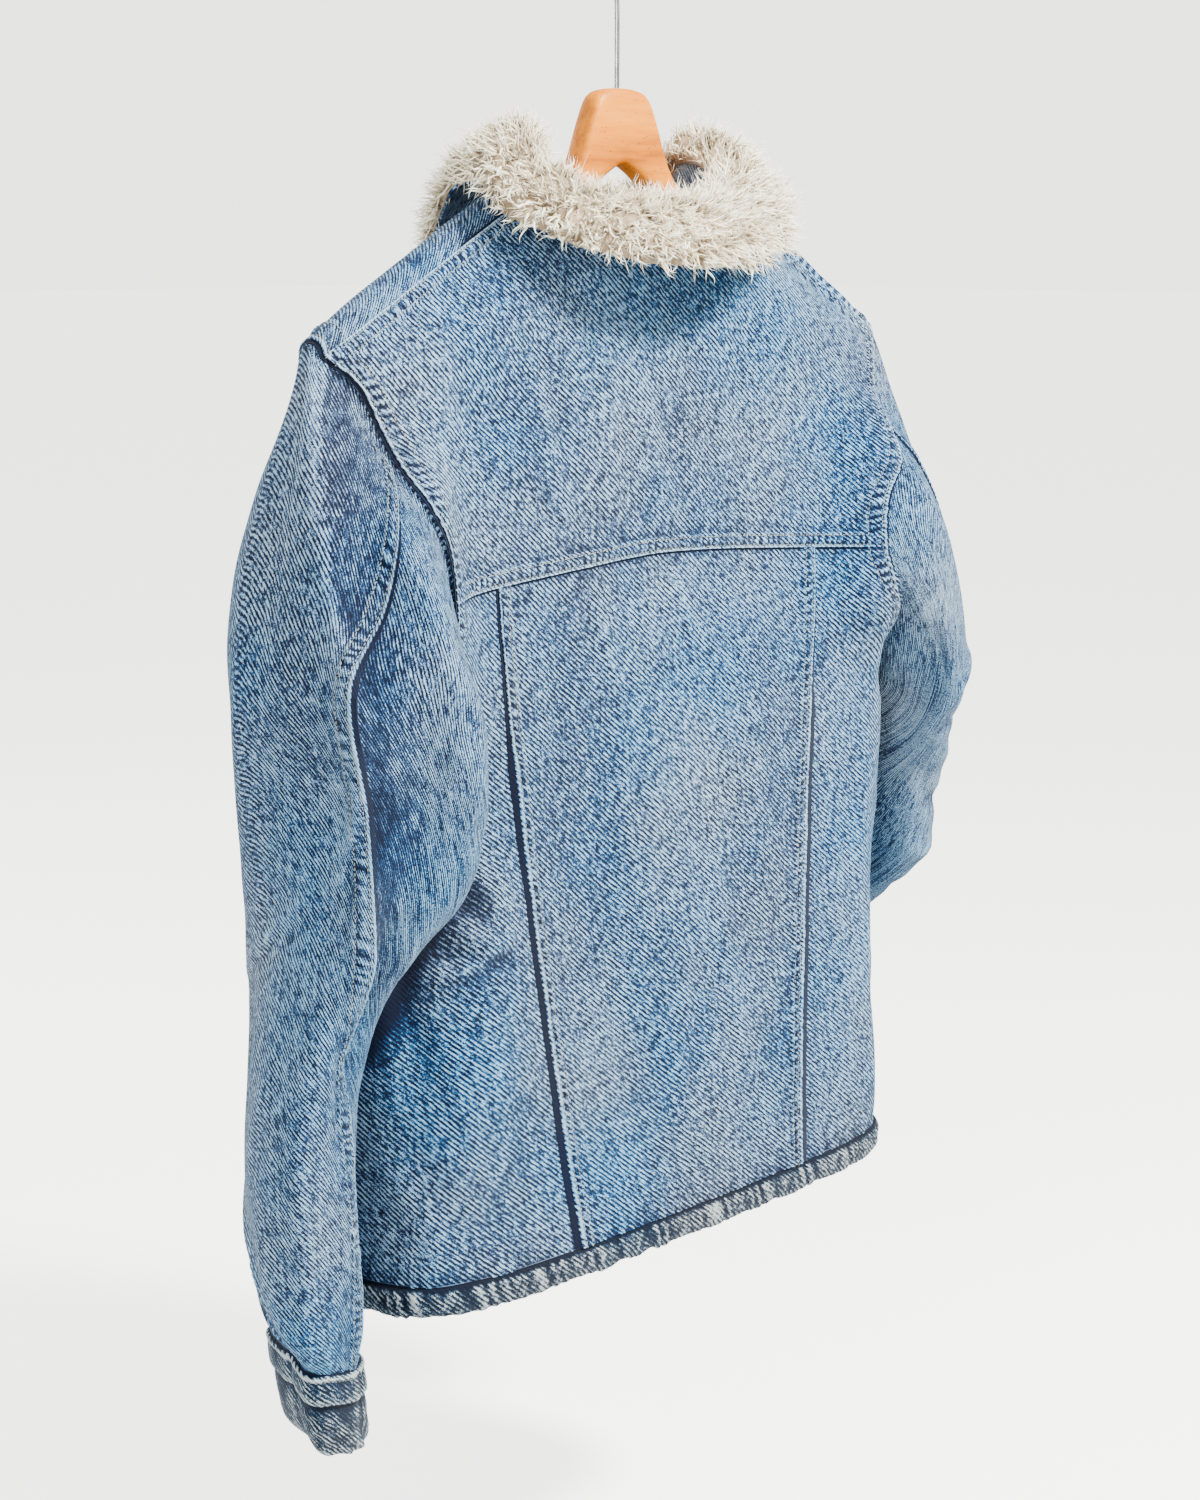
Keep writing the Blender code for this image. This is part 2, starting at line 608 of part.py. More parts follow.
def armhole_ring(back, back_out, front, front_out):
    """The armhole's edge from the underarm up the back and down the front, with normals and outward steps."""
    low, arc = len(SIDE_PLACES) - 1, FRONT_PLACES.index(SHOULDER)
    back_rows = list(range(low, arc + 1))
    front_rows = list(range(len(FRONT_PLACES) - 2, low, -1))
    ring = np.array([back[i, -1] for i in back_rows] + [front[i, -1] for i in front_rows])
    normals = np.array([back_out[i, -1] for i in back_rows] + [front_out[i, -1] for i in front_rows])
    beside = np.array([back[i, -2] for i in back_rows] + [front[i, -2] for i in front_rows])
    along = unit(np.roll(ring, -1, axis=0) - np.roll(ring, 1, axis=0))
    along[0] = (0, 1, 0)
    steps = unit(np.cross(normals, along))
    steps *= np.sign(((ring - beside) * steps).sum(axis=1, keepdims=True))
    steps[0] = (0, 0, 1)
    return ring, normals, steps


def sleeve_oval(section, angles, mirror):
    """A ring of points round one section of the sleeve."""
    inner = np.array((section.inner_x, 0, section.inner_z))
    outer = np.array((section.outer_x, 0, section.outer_z))
    turn, pitch = math.radians(section.turn), math.radians(section.pitch)
    middle_point = (inner + outer) / 2 + np.array((0, section.y, 0))
    toward_body = (inner - outer) / 2
    toward_back = section.half * np.array(
        (math.sin(turn), math.cos(turn) * math.cos(pitch), -math.cos(turn) * math.sin(pitch))
    )
    across, round_back = np.cos(angles)[:, None], np.sin(angles)[:, None]
    ring = (
        middle_point
        + toward_body * across * (1 + SLEEVE_SQUARE * round_back**2)
        + toward_back * round_back * (1 + SLEEVE_SQUARE * across**2)
    )
    return ring * (mirror, 1, 1)


def sleeve_section(table, place):
    return SleeveSection(*(column(table, name, place) for name in SleeveSection._fields))


def seam_spread(side, place, count):
    """The turns of a ring's points, spread between the sleeve's two seams."""
    places = [row.place for row in SEAM_TURNS]
    back = float(np.interp(place, places, [getattr(row, side) for row in SEAM_TURNS]))
    seams = (0, BACK_SLEEVE_SEAM, FRONT_SLEEVE_SEAM, count)
    return np.radians(np.interp(range(count), seams, (0, back, FRONT_SEAM_TURN, 360)))


def sleeve_lift(folds, place, turns):
    """The folds' height round one ring of the sleeve."""
    total = np.zeros(len(turns))
    for fold in folds:
        run = np.array(((fold.place_to - fold.place_from) * PLACE_DEGREES, fold.turn_to - fold.turn_from))
        for i, turn in enumerate(turns):
            point = np.array(((place - fold.place_from) * PLACE_DEGREES, turn - fold.turn_from))
            share = np.clip(point @ run / (run @ run), 0, 1)
            away = np.linalg.norm(point - share * run) / fold.width
            total[i] += fold.lift * math.exp(-away * away)
    return total


def body_half_width(mirror, y, z):
    """The body's reach to the side at this depth and height, below the underarm; nothing past its depth."""
    heights = [column(SECTIONS, "height", p) - column(SECTIONS, "drop", p) for p in SIDE_PLACES]
    place = float(np.interp(z, heights, SIDE_PLACES))
    side = 1 if y >= 0 else -1
    found = [sheet_point(side, place, mirror * angle)[0] for angle in range(90, 40, -5)]
    depths, reaches = [abs(p[1]) for p in found], [abs(p[0]) for p in found]
    return float(np.interp(abs(y) - SLEEVE_CLEAR, depths, reaches, right=0))


def clear_body(rings, mirror):
    """Moves what hangs against the body out to just clear of it."""
    for ring in rings:
        for point in ring:
            if point[2] < CLEAR_FROM:
                reach = body_half_width(mirror, point[1], point[2]) + SLEEVE_CLEAR
                point[0] = mirror * max(abs(point[0]), reach)


def add_sleeve(side, mirror, table, folds, armhole):
    """One sleeve in two pieces, lofted from the armhole, and the cuff below it."""
    ring, out, steps = armhole
    count = len(ring)
    even = np.linspace(0, 2 * math.pi, count, endpoint=False)
    oval = ARMHOLE_OVAL
    rise = (oval.outer_z - oval.inner_z) / 2
    found = np.arctan2((ring[:, 1] - oval.y) / oval.half, (oval.inner_z + rise - ring[:, 2]) / rise)
    found = np.unwrap(np.where(found < -0.2, found + 2 * math.pi, found))
    found[0] = 0
    turns = np.degrees(even)
    from_underarm = np.minimum(turns, 360 - turns)
    roll = np.clip(1 - from_underarm / ROLL_REACH, 0, 1)[:, None] ** ROLL_EASE
    first = ring + steps * SEAM_GAP / 2
    second = ring + out * UNDERARM_ROLL * roll
    second += steps * (UNDERARM_ROLL / 2 * roll + ARMHOLE_STEP * (1 - roll))
    rings = [first, second]
    away = ring - sleeve_oval(oval, found, mirror)
    for place in SLEEVE_PLACES:
        held = float(np.interp(place, range(len(ARMHOLE_HOLD) + 1), ARMHOLE_HOLD + (0,)))
        slide = min(1, TURN_SLIDE * place)
        angles = found * (1 - slide) + seam_spread(side, place, count) * slide
        rings.append(sleeve_oval(sleeve_section(table, place), angles, mirror) + away * held)
    rings = np.array(rings)
    normals = tube_normals(rings)
    lifts = np.array([sleeve_lift(folds, p, np.degrees(seam_spread(side, p, count))) for p in SLEEVE_PLACES])
    rings[2:] += normals[2:] * lifts[..., None]
    clear_body(rings[2:], mirror)
    normals = tube_normals(rings)
    normals[0] = out
    normals[1] = unit(out + normals[2] - steps * roll * ROLL_LEAN)
    raised = np.zeros(rings.shape[:2])
    raised[3:, BACK_SLEEVE_SEAM : BACK_SLEEVE_SEAM + 2] = BAND_RAISE
    upper = list(range(BACK_SLEEVE_SEAM, FRONT_SLEEVE_SEAM + 1))
    under = [i % count for i in range(FRONT_SLEEVE_SEAM, BACK_SLEEVE_SEAM + count + 1)]
    sides = ((0, -1), (1, 0), (1, -1))
    add_panel("sleeve_upper_" + side, rings[:, upper], normals[:, upper], raised[:, upper], sides, denim)
    add_panel("sleeve_under_" + side, rings[:, under], normals[:, under], raised[:, under] * 0, sides, denim)
    end = rings[-1]
    centre = end.mean(axis=0)
    down = unit(centre - rings[-3].mean(axis=0))
    radial = unit(normals[-1] - down * (normals[-1] @ down)[:, None])
    outer = np.array([centre + (end - centre) * c.scale + radial * c.out + down * c.distance for c in CUFF])
    inner = np.array([centre + (end - centre) * c.scale - radial * WALL + down * c.distance for c in CUFF])
    add_wall("cuff_" + side, outer, inner, denim, wrap=True)


left_armhole = armhole_ring(left_points, left_normals, *fronts["front_left"])
right_armhole = armhole_ring(right_points, right_normals, *fronts["front_right"])
add_sleeve("left", 1, LEFT_SLEEVE, LEFT_SLEEVE_FOLDS, left_armhole)
add_sleeve("right", -1, RIGHT_SLEEVE, RIGHT_SLEEVE_FOLDS, right_armhole)


def add_hem(name, side, angle_from, angle_to, gathers):
    """A turned-up hem below the ditch, its outside gathered by the stitching."""
    angles = np.linspace(angle_from, angle_to, 2 * gathers + 1)
    found = [sheet_point(side, 0, angle) for angle in angles]
    points, normals = np.array([p for p, _ in found]), np.array([n for _, n in found])
    pleat = GATHER_DEPTH * np.where(np.arange(len(angles)) % 2, 1, -1)
    pleat[[0, -1]] = 0
    down = np.array((0, 0, -1.0))
    outer = []
    for row in HEM:
        outer.append(points + normals * (row.out + pleat * row.gathered)[:, None] + down * row.distance)
    inner = [points + normals * HEM_INSIDE + down * row.distance for row in HEM]
    inner[-1] = inner[-1] - down * HEM_ROUND
    outer, inner = np.array(outer), np.array(inner)
    pull_in(outer, inner, ((1, 0), (1, -1)))
    add_wall(name, outer, inner, denim)


add_hem("hem_back", 1, -90, 90, BACK_GATHERS)
add_hem("hem_front_left", -1, 0, 90, FRONT_GATHERS)
add_hem("hem_front_right", -1, -90, 0, FRONT_GATHERS)

# Button band, laid on both fronts' own points, and its buttons.
BAND_COLUMNS = (
    ("front_right", 1),
    ("front_right", 0.5),
    ("front_left", 0),
    ("front_left", 0.5),
    ("front_left", 1),
)
band_rows = range(FRONT_PLACES.index(SHOULDER) + 1)
band_points, band_normals = [], []
for row in band_rows:
    line, line_normals = [], []
    for name, share in BAND_COLUMNS:
        points, normals = fronts[name]
        share *= BUTTON_BAND_HALF / abs(points[row, 1, 0])
        line.append(points[row, 0] * (1 - share) + points[row, 1] * share)
        line_normals.append(unit(normals[row, 0] * (1 - share) + normals[row, 1] * share))
    band_points.append(line)
    band_normals.append(line_normals)
band_points, band_normals = np.array(band_points), np.array(band_normals)
band_points[-1] += (band_points[-2] - band_points[-1]) * BAND_TOP_SHARE
band_outer = band_points + band_normals * (BAND_CLEAR + BUTTON_BAND_WALL)
band_inner = band_points + band_normals * BAND_CLEAR
pull_in(band_outer, band_inner, ((0, 0), (0, -1)))
add_wall("button_band", band_outer, band_inner, denim)


def add_round(name, centre, axis, radius, height, sides, finish):
    """A disc with an eased face, standing on the plane through its centre."""
    side_way = unit(np.cross(axis, (0, 0, 1)))
    other_way = np.cross(axis, side_way)
    rings = []
    for out, up in ((1.0, 0.0), (1.0, height * BUTTON_EDGE), (BUTTON_FACE, height)):
        turns = np.linspace(0, 2 * math.pi, sides, endpoint=False)
        ring = centre + axis * up + radius * out * (
            np.cos(turns)[:, None] * side_way + np.sin(turns)[:, None] * other_way
        )
        rings.append(ring)
    add_tube(name, rings, finish)


def add_tube(name, rings, finish):
    """A solid through closed rings of points, capped at both ends."""
    count = len(rings[0])
    faces = [list(range(count)), [len(rings) * count - 1 - i for i in range(count)]]
    for i in range(len(rings) - 1):
        for j in range(count):
            k = (j + 1) % count
            faces.append((i * count + j, i * count + k, (i + 1) * count + k, (i + 1) * count + j))
    add_object(name, np.concatenate(rings), faces, finish)


for number, place in enumerate(BUTTON_PLACES, 1):
    row = int(np.interp(place, FRONT_PLACES[: len(band_rows)], band_rows))
    share = (place - FRONT_PLACES[row]) / (FRONT_PLACES[row + 1] - FRONT_PLACES[row])
    seat = band_outer[row, 2] * (1 - share) + band_outer[row + 1, 2] * share
    axis = unit(band_normals[row, 2] * (1 - share) + band_normals[row + 1, 2] * share)
    seat = seat + axis * BUTTON_CLEAR
    add_round(f"button_{number}", seat, axis, BUTTON_RADIUS, BUTTON_HEIGHT, BUTTON_SIDES, steel)

# Collar, along the neck's edge from the right front over the back to the left front.
arc = FRONT_PLACES.index(SHOULDER)


def neck_half(back, back_out, front):
    """The neck's edge from the back's middle to the front's end, at the top of what is raised there."""
    behind = [back[-1, i] + back_out[-1, i] * BAND_RAISE for i in range(NECK_CELLS + 1)]
    over = [front[row, NECK_CELLS] for row in range(len(FRONT_PLACES) - 2, arc - 1, -1)]
    before = [front[arc, i] for i in range(NECK_CELLS - 1, -1, -1)]
    return np.array(behind + over + before)


left_neck = neck_half(left_points, left_normals, fronts["front_left"][0])
right_neck = neck_half(right_points, right_normals, fronts["front_right"][0])


def collar_stations(neck):
    """Stations along one half of the neck's edge: its corners and the middles of its long steps."""
    neck = neck.copy()
    last = neck[-2] - neck[-1]
    neck[-1] += last * COLLAR_GAP_HALF / np.linalg.norm(last)
    found = [neck[0]]
    for point in neck[1:]:
        if np.linalg.norm(point - found[-1]) > LONG_STEP:
            found.append((point + found[-1]) / 2)
        found.append(point)
    return np.array(found)


def collar_profile(section):
    """Points out and up from the neck's edge: up the stand, over the roll and down the leaf."""
    top = section.stand * COLLAR_RISE
    stand_pull = (-COLLAR_LEAN, top * STAND_PULL)
    roll_pull = (section.out * ROLL_OUT_PULL, top * ROLL_UP_PULL)
    corners = np.array(((0, 0), stand_pull, roll_pull, (section.out, section.stand - section.fall)))
    t = np.linspace(0, 1, COLLAR_STEPS)[:, None]
    return (
        corners[0] * (1 - t) ** 3
        + corners[1] * 3 * t * (1 - t) ** 2
        + corners[2] * 3 * t * t * (1 - t)
        + corners[3] * t**3
    )


collar_lines, collar_outs = [], []
left_stations, right_stations = collar_stations(left_neck), collar_stations(right_neck)
lengths = np.cumsum(np.linalg.norm(np.diff(left_stations, axis=0), axis=1))
shares = np.concatenate(((0,), lengths / lengths[-1]))
for base, share in zip(
    np.concatenate((right_stations[:0:-1], left_stations)), np.concatenate((shares[:0:-1], shares))
):
    out_way = unit(base * (1, 1, 0) / (NECK_OVAL_X**2, NECK_OVAL_Y**2, 1))
    section = CollarSection(*(column(COLLAR, name, share) for name in CollarSection._fields))
    profile = collar_profile(section)
    base = base + np.array((0, 0, COLLAR_CLEAR))
    collar_lines.append([base + out_way * p[0] + np.array((0, 0, p[1])) for p in profile])
    slopes = np.gradient(profile, axis=0)
    collar_outs.append([unit(out_way * -s[1] + np.array((0, 0, s[0]))) for s in slopes])
collar_lines, collar_outs = np.array(collar_lines), np.array(collar_outs)
collar_outs[:, 0, 2] = 0
collar_outs[:, 0] = unit(collar_outs[:, 0])
add_wall("under_collar", collar_lines, collar_lines - collar_outs * UNDER_COLLAR_WALL, denim)
thick = np.full(collar_lines.shape[:2], FLEECE_DEPTH)
thick[:, [0, -1]] *= FLEECE_EDGE
thick[[0, -1]] *= FLEECE_EDGE
lumps = np.sin(np.arange(thick.size) * LUMP_TURN).reshape(thick.shape)
thick += FLEECE_LUMP * lumps
fleece_outer = collar_lines + collar_outs * thick[..., None]
add_wall("collar_fleece", fleece_outer, collar_lines + collar_outs * SEAM_GAP, fleece)


def hanger_section(x):
    """A rounded section of the hanger at this distance from its middle."""
    if abs(x) > HANGER_MIDDLE[-1].place:
        back, front = (plain_point(side, SHOULDER, angle_at_x(side, SHOULDER, abs(x)))[1] for side in (1, -1))
        half = (back - front) / 2
        ridge = SECTIONS[SHOULDER].height - SECTIONS[SHOULDER].drop * shoulder_fall(x)
        top = ridge + half * SHOULDER_ARC_RISE - WALL * ARM_CLOTH - HANGER_CLEAR
        end = ARM_END if abs(x) == ARM_STATIONS[-1] else 1
        height, half_depth = ARM_HEIGHT * end, ARM_HALF_DEPTH * end
        top -= ARM_HEIGHT * (1 - end) / 4
        corner = ARM_CORNER
    else:
        top, height, half_depth, corner = (
            column(HANGER_MIDDLE, name, abs(x)) for name in HangerSection._fields[1:]
        )
    turns = np.linspace(0, 2 * math.pi, HANGER_SIDES, endpoint=False)
    across = np.sign(np.cos(turns)) * np.abs(np.cos(turns)) ** corner
    upward = np.sign(np.sin(turns)) * np.abs(np.sin(turns)) ** corner
    ring = np.zeros((HANGER_SIDES, 3))
    ring[:, 0] = x
    ring[:, 1] = half_depth * across
    ring[:, 2] = top - height / 2 + height / 2 * upward
    return ring


middle_stations = [row.place for row in HANGER_MIDDLE]
right_half = [-x for x in reversed(ARM_STATIONS)] + [-x for x in reversed(middle_stations[1:])]
stations = right_half + middle_stations + list(ARM_STATIONS)
add_tube("hanger_body", [hanger_section(x) for x in stations], wood)

# Hook: a straight stem, then round over the rail.
hook_middle = WIRE_RADIUS - HOOK_RADIUS
start_turn, end_turn = math.radians(HOOK_START), math.radians(HOOK_END)
path = [(0, WOOD_TOP + SEAM_GAP), (0, HOOK_BEND), (HOOK_EASE_OUT, HOOK_BEND + HOOK_EASE_UP)]
for turn in np.linspace(start_turn, end_turn, HOOK_STEPS):
    path.append((HOOK_RADIUS * math.cos(turn), hook_middle + HOOK_RADIUS * math.sin(turn)))
path = np.array(path)
slopes = unit(np.gradient(path, axis=0))
slopes[0] = (0, 1)
wire = []
for (x, z), (run, rise) in zip(path, slopes):
    turns = np.linspace(0, 2 * math.pi, WIRE_SIDES, endpoint=False)
    sideways = np.array((rise, 0, -run))
    wire.append(
        np.array((x, 0, z))
        + WIRE_RADIUS * (np.cos(turns)[:, None] * sideways + np.sin(turns)[:, None] * np.array((0, 1, 0)))
    )
add_tube("hanger_hook", wire, steel)
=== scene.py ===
import functools
import math
from collections import namedtuple

import bmesh
import bpy
import numpy as np
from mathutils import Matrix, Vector


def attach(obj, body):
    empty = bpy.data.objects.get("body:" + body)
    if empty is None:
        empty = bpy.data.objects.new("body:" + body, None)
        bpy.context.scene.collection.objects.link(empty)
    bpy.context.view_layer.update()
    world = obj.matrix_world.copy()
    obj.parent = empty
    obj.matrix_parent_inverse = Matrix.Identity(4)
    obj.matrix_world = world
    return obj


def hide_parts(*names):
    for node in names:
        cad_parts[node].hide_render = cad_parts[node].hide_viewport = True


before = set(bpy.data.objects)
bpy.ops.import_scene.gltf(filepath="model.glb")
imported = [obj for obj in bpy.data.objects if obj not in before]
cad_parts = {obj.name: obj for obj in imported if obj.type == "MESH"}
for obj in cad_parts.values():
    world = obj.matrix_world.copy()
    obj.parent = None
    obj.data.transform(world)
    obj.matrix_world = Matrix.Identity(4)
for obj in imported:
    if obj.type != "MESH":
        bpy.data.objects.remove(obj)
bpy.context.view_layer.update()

# ----------------------------------------
# Back of the jacket: a yoke over a centre panel and two side panels, cut from washed blue denim.
# The pieces are felled together, so each seam is a flat band with two rows of stitching on it.
# ----------------------------------------
WALL = 0.0018
BAND_WIDTH = 0.012
SHOULDER_HALF = 0.270
NECK_HALF = 0.090
NECK_LEVEL = 0.25
SHOULDER_ARC_RISE = 0.8
UNDERARM = 3
YOKE = 4
SHOULDER = 7


def table(kind, rows):
    """A table's rows, each with its values named."""
    return tuple(kind(*row) for row in rows)


# place counts the sections up from the hem's ditch. back and front are the depths from the middle
# plane. square fills out the corners of the oval, and back_square flattens the back between them.
Section = namedtuple("Section", "place height drop half_width back front square back_square")
SECTIONS = table(Section, (
    (0, -0.893, 0.000, 0.258, 0.081, 0.094, 0.22, 0.50),
    (1, -0.800, 0.000, 0.261, 0.068, 0.104, 0.22, 0.70),
    (2, -0.680, 0.001, 0.264, 0.057, 0.112, 0.24, 0.85),
    (3, -0.555, 0.004, 0.270, 0.050, 0.112, 0.28, 0.90),
    (4, -0.428, 0.018, 0.266, 0.044, 0.104, 0.30, 0.80),
    (5, -0.315, 0.060, 0.266, 0.043, 0.086, 0.30, 0.60),
    (6, -0.215, 0.104, 0.270, 0.041, 0.056, 0.32, 0.40),
    (7, -0.151, 0.134, 0.276, 0.015, 0.016, 0.50, 0.50),
))

# The armhole's edge on each sheet, as the angle round the oval from its middle.
Armhole = namedtuple("Armhole", "place back_angle front_angle")
ARMHOLE = table(Armhole, (
    (3.00, 90.0, 90.0),
    (3.12, 72.0, 70.0),
    (3.50, 52.0, 52.0),
    (4.00, 44.5, 44.0),
    (4.45, 46.0, 44.5),
    (5.00, 53.0, 47.0),
    (6.00, 60.0, 55.0),
    (7.00, 63.0, 63.0),
))
SIDE_PLACES = (0.0, 0.3, 0.65, 1.0, 1.33, 1.67, 2.0, 2.33, 2.67, 3.0)
YOKE_SIDE_PLACES = (3.04, 3.13, 3.3, 3.55, 3.78, 4.0)
UPPER_PLACES = (4.4, 4.8, 5.2, 5.6, 6.0, 6.35, 6.7, 7.0)
ARC_PLACES = (7.25, 7.5, 7.75, 8.0)
BACK_PLACES = SIDE_PLACES + YOKE_SIDE_PLACES + UPPER_PLACES
FRONT_PLACES = BACK_PLACES + ARC_PLACES

# The long back seams' distance from the middle.
BackSeam = namedtuple("BackSeam", "place x")
BACK_SEAM = table(BackSeam, (
    (0.0, 0.117),
    (1.3, 0.131),
    (2.3, 0.145),
    (4.0, 0.160),
    (7.0, 0.132),
))
CENTRE_CELLS = 4
SIDE_CELLS = 5
NECK_CELLS = 3

# How far up each column near the neck reaches, on the back and on the front; the rows above the floor are
# drawn down to it.
NECK_FLOOR = 4.8
BACK_NECK_TOPS = (6.05, 6.13, 6.42)
FRONT_NECK_TOPS = (5.35, 5.5, 5.95)

# Folds: each runs from one point of the sheet to another, given by angle and height. lift is positive
# for a ridge and negative for a trough.
Fold = namedtuple("Fold", "angle_from z_from angle_to z_to width lift")
DEGREE = 0.0034
BACK_FOLDS = table(Fold, (
    (50, -0.375, 47, -0.485, 0.034, 0.030),
    (-50, -0.375, -47, -0.485, 0.034, 0.030),
    (38, -0.640, 42, -0.760, 0.024, 0.008),
    (42, -0.760, 57, -0.870, 0.022, 0.007),
    (60, -0.660, 66, -0.800, 0.030, -0.008),
    (4, -0.480, -4, -0.870, 0.022, 0.004),
    (15, -0.620, 12, -0.830, 0.026, -0.003),
    (-16, -0.500, -13, -0.800, 0.026, 0.003),
    (-44, -0.590, -47, -0.860, 0.024, 0.005),
    (-62, -0.680, -60, -0.820, 0.028, -0.005),
    (8, -0.300, 12, -0.430, 0.020, 0.003),
    (-14, -0.300, -10, -0.430, 0.020, -0.003),
    (30, -0.330, 14, -0.260, 0.022, -0.004),
))
FRONT_FOLDS = table(Fold, (
    (30, -0.420, 34, -0.860, 0.026, 0.006),
    (-28, -0.460, -36, -0.850, 0.026, 0.006),
    (56, -0.600, 60, -0.860, 0.030, -0.008),
    (-58, -0.620, -56, -0.840, 0.028, -0.007),
))


@functools.lru_cache(maxsize=None)
def column_curve(rows, name):
    keys = np.array([row.place for row in rows], float)
    values = np.array([getattr(row, name) for row in rows], float)
    return keys, values, np.gradient(values, keys)


def column(rows, name, at):
    """A column of a table, read between its rows along a smooth curve."""
    keys, values, slopes = column_curve(rows, name)
    low = int(np.clip(np.searchsorted(keys, at, "right") - 1, 0, len(keys) - 2))
    step = keys[low + 1] - keys[low]
    s = (at - keys[low]) / step
    return (
        values[low] * (1 + 2 * s) * (1 - s) ** 2
        + slopes[low] * step * s * (1 - s) ** 2
        + values[low + 1] * s * s * (3 - 2 * s)
        + slopes[low + 1] * step * s * s * (s - 1)
    )


def unit(vectors):
    length = np.linalg.norm(vectors, axis=-1, keepdims=True)
    return vectors / np.maximum(length, 1e-9)


def shoulder_fall(x):
    """How much of a section's drop has been reached at x: level at the neck, then straight down."""
    ratio = abs(x) / SHOULDER_HALF
    return (1 + NECK_LEVEL) * ratio * ratio / (ratio + NECK_LEVEL)


def plain_point(side, place, angle):
    """A point of the smooth sheet: side is 1 for the back and -1 for the front, angle in degrees."""
    width = column(SECTIONS, "half_width", place)
    depth = column(SECTIONS, "back" if side > 0 else "front", place)
    square = column(SECTIONS, "square", place)
    across = math.sin(math.radians(angle))
    along = math.cos(math.radians(angle))
    x = width * across * (1 + square * along**2)
    y = depth * along * (1 + (column(SECTIONS, "back_square", place) if side > 0 else square) * across**2)
    z = column(SECTIONS, "height", place) - column(SECTIONS, "drop", place) * shoulder_fall(x)
    return np.array((x, side * y, z))


def fold_lift(folds, angle, z):
    """The folds' height at a point of the sheet, each fading out past its ends and its width."""
    total = 0.0
    for fold in folds:
        ends = np.array(((fold.angle_from * DEGREE, fold.z_from), (fold.angle_to * DEGREE, fold.z_to)))
        run = ends[1] - ends[0]
        point = np.array((angle * DEGREE, z)) - ends[0]
        share = np.clip(point @ run / (run @ run), 0, 1)
        away = np.linalg.norm(point - share * run) / fold.width
        total += fold.lift * math.exp(-away * away)
    return total


def angle_at_x(side, place, x):
    angles = np.linspace(0, 90, 181)
    return float(np.interp(x, [plain_point(side, place, a)[0] for a in angles], angles))


def edge_angle(side, place):
    """The sheet's outer edge: the side seam up to the underarm, then the armhole."""
    if place <= UNDERARM:
        return 90.0
    rooted = tuple(row._replace(place=math.sqrt(row.place - UNDERARM)) for row in ARMHOLE)
    name = "back_angle" if side > 0 else "front_angle"
    return column(rooted, name, math.sqrt(place - UNDERARM))


def degrees_for(side, place, angle, length):
    """The turn round the section that covers this length at this angle."""
    step = 2.0
    speed = np.linalg.norm(plain_point(side, place, angle) - plain_point(side, place, angle - step)) / step
    return length / speed


def back_angles(place):
    """Column angles of the back sheet at one row, from the middle out to the edge."""
    edge = edge_angle(1, place)
    band = edge - degrees_for(1, place, edge, BAND_WIDTH)
    seam = angle_at_x(1, place, column(BACK_SEAM, "x", place))
    strip = seam - degrees_for(1, place, seam, BAND_WIDTH)
    inner = [strip * i / CENTRE_CELLS for i in range(CENTRE_CELLS)]
    outer = [seam + (band - seam) * i / SIDE_CELLS for i in range(SIDE_CELLS)]
    return inner + [strip] + outer + [band, edge]


def front_angles(place):
    """Column angles of one front, from the closing out to the edge."""
    edge = edge_angle(-1, place)
    band = edge - degrees_for(-1, place, edge, BAND_WIDTH)
    corner = band * angle_at_x(-1, SHOULDER, NECK_HALF) / edge_angle(-1, SHOULDER)
    cells = CENTRE_CELLS + SIDE_CELLS + 1 - NECK_CELLS
    inner = [corner * i / NECK_CELLS for i in range(NECK_CELLS)]
    outer = [corner + (band - corner) * i / cells for i in range(cells)]
    return inner + outer + [band, edge]


def neck_place(place, top):
    """Near the neck, rows above the floor are drawn down to end on its edge."""
    if place <= NECK_FLOOR:
        return place
    return NECK_FLOOR + (place - NECK_FLOOR) * (top - NECK_FLOOR) / (SHOULDER - NECK_FLOOR)


def sheet_point(side, place, angle):
    point = plain_point(side, place, angle)
    around = unit(plain_point(side, place, angle + 1) - plain_point(side, place, angle - 1))
    above, below = min(place + 0.05, SHOULDER), max(place - 0.05, 0)
    up = unit(plain_point(side, above, angle) - plain_point(side, below, angle))
    normal = unit(np.cross(around, up)) * -side
    folds = BACK_FOLDS if side > 0 else FRONT_FOLDS
    return point + normal * fold_lift(folds, angle, point[2]), normal


def half_sheet(side, mirror, places, angles_at, neck_tops):
    """One half of a sheet as a grid of points and normals: rows by columns, from the middle out.

    Rows past the shoulder's place stay there, to be carried over it.
    """
    grid = []
    for place in places:
        reached = min(place, SHOULDER)
        row = []
        for i, angle in enumerate(angles_at(reached)):
            here = reached
            if i < NECK_CELLS:
                here = neck_place(reached, neck_tops[i])
                angle = angles_at(here)[i]
            row.append(sheet_point(side, here, mirror * angle))
        grid.append(row)
    return np.array([[p for p, _ in row] for row in grid]), np.array([[n for _, n in row] for row in grid])


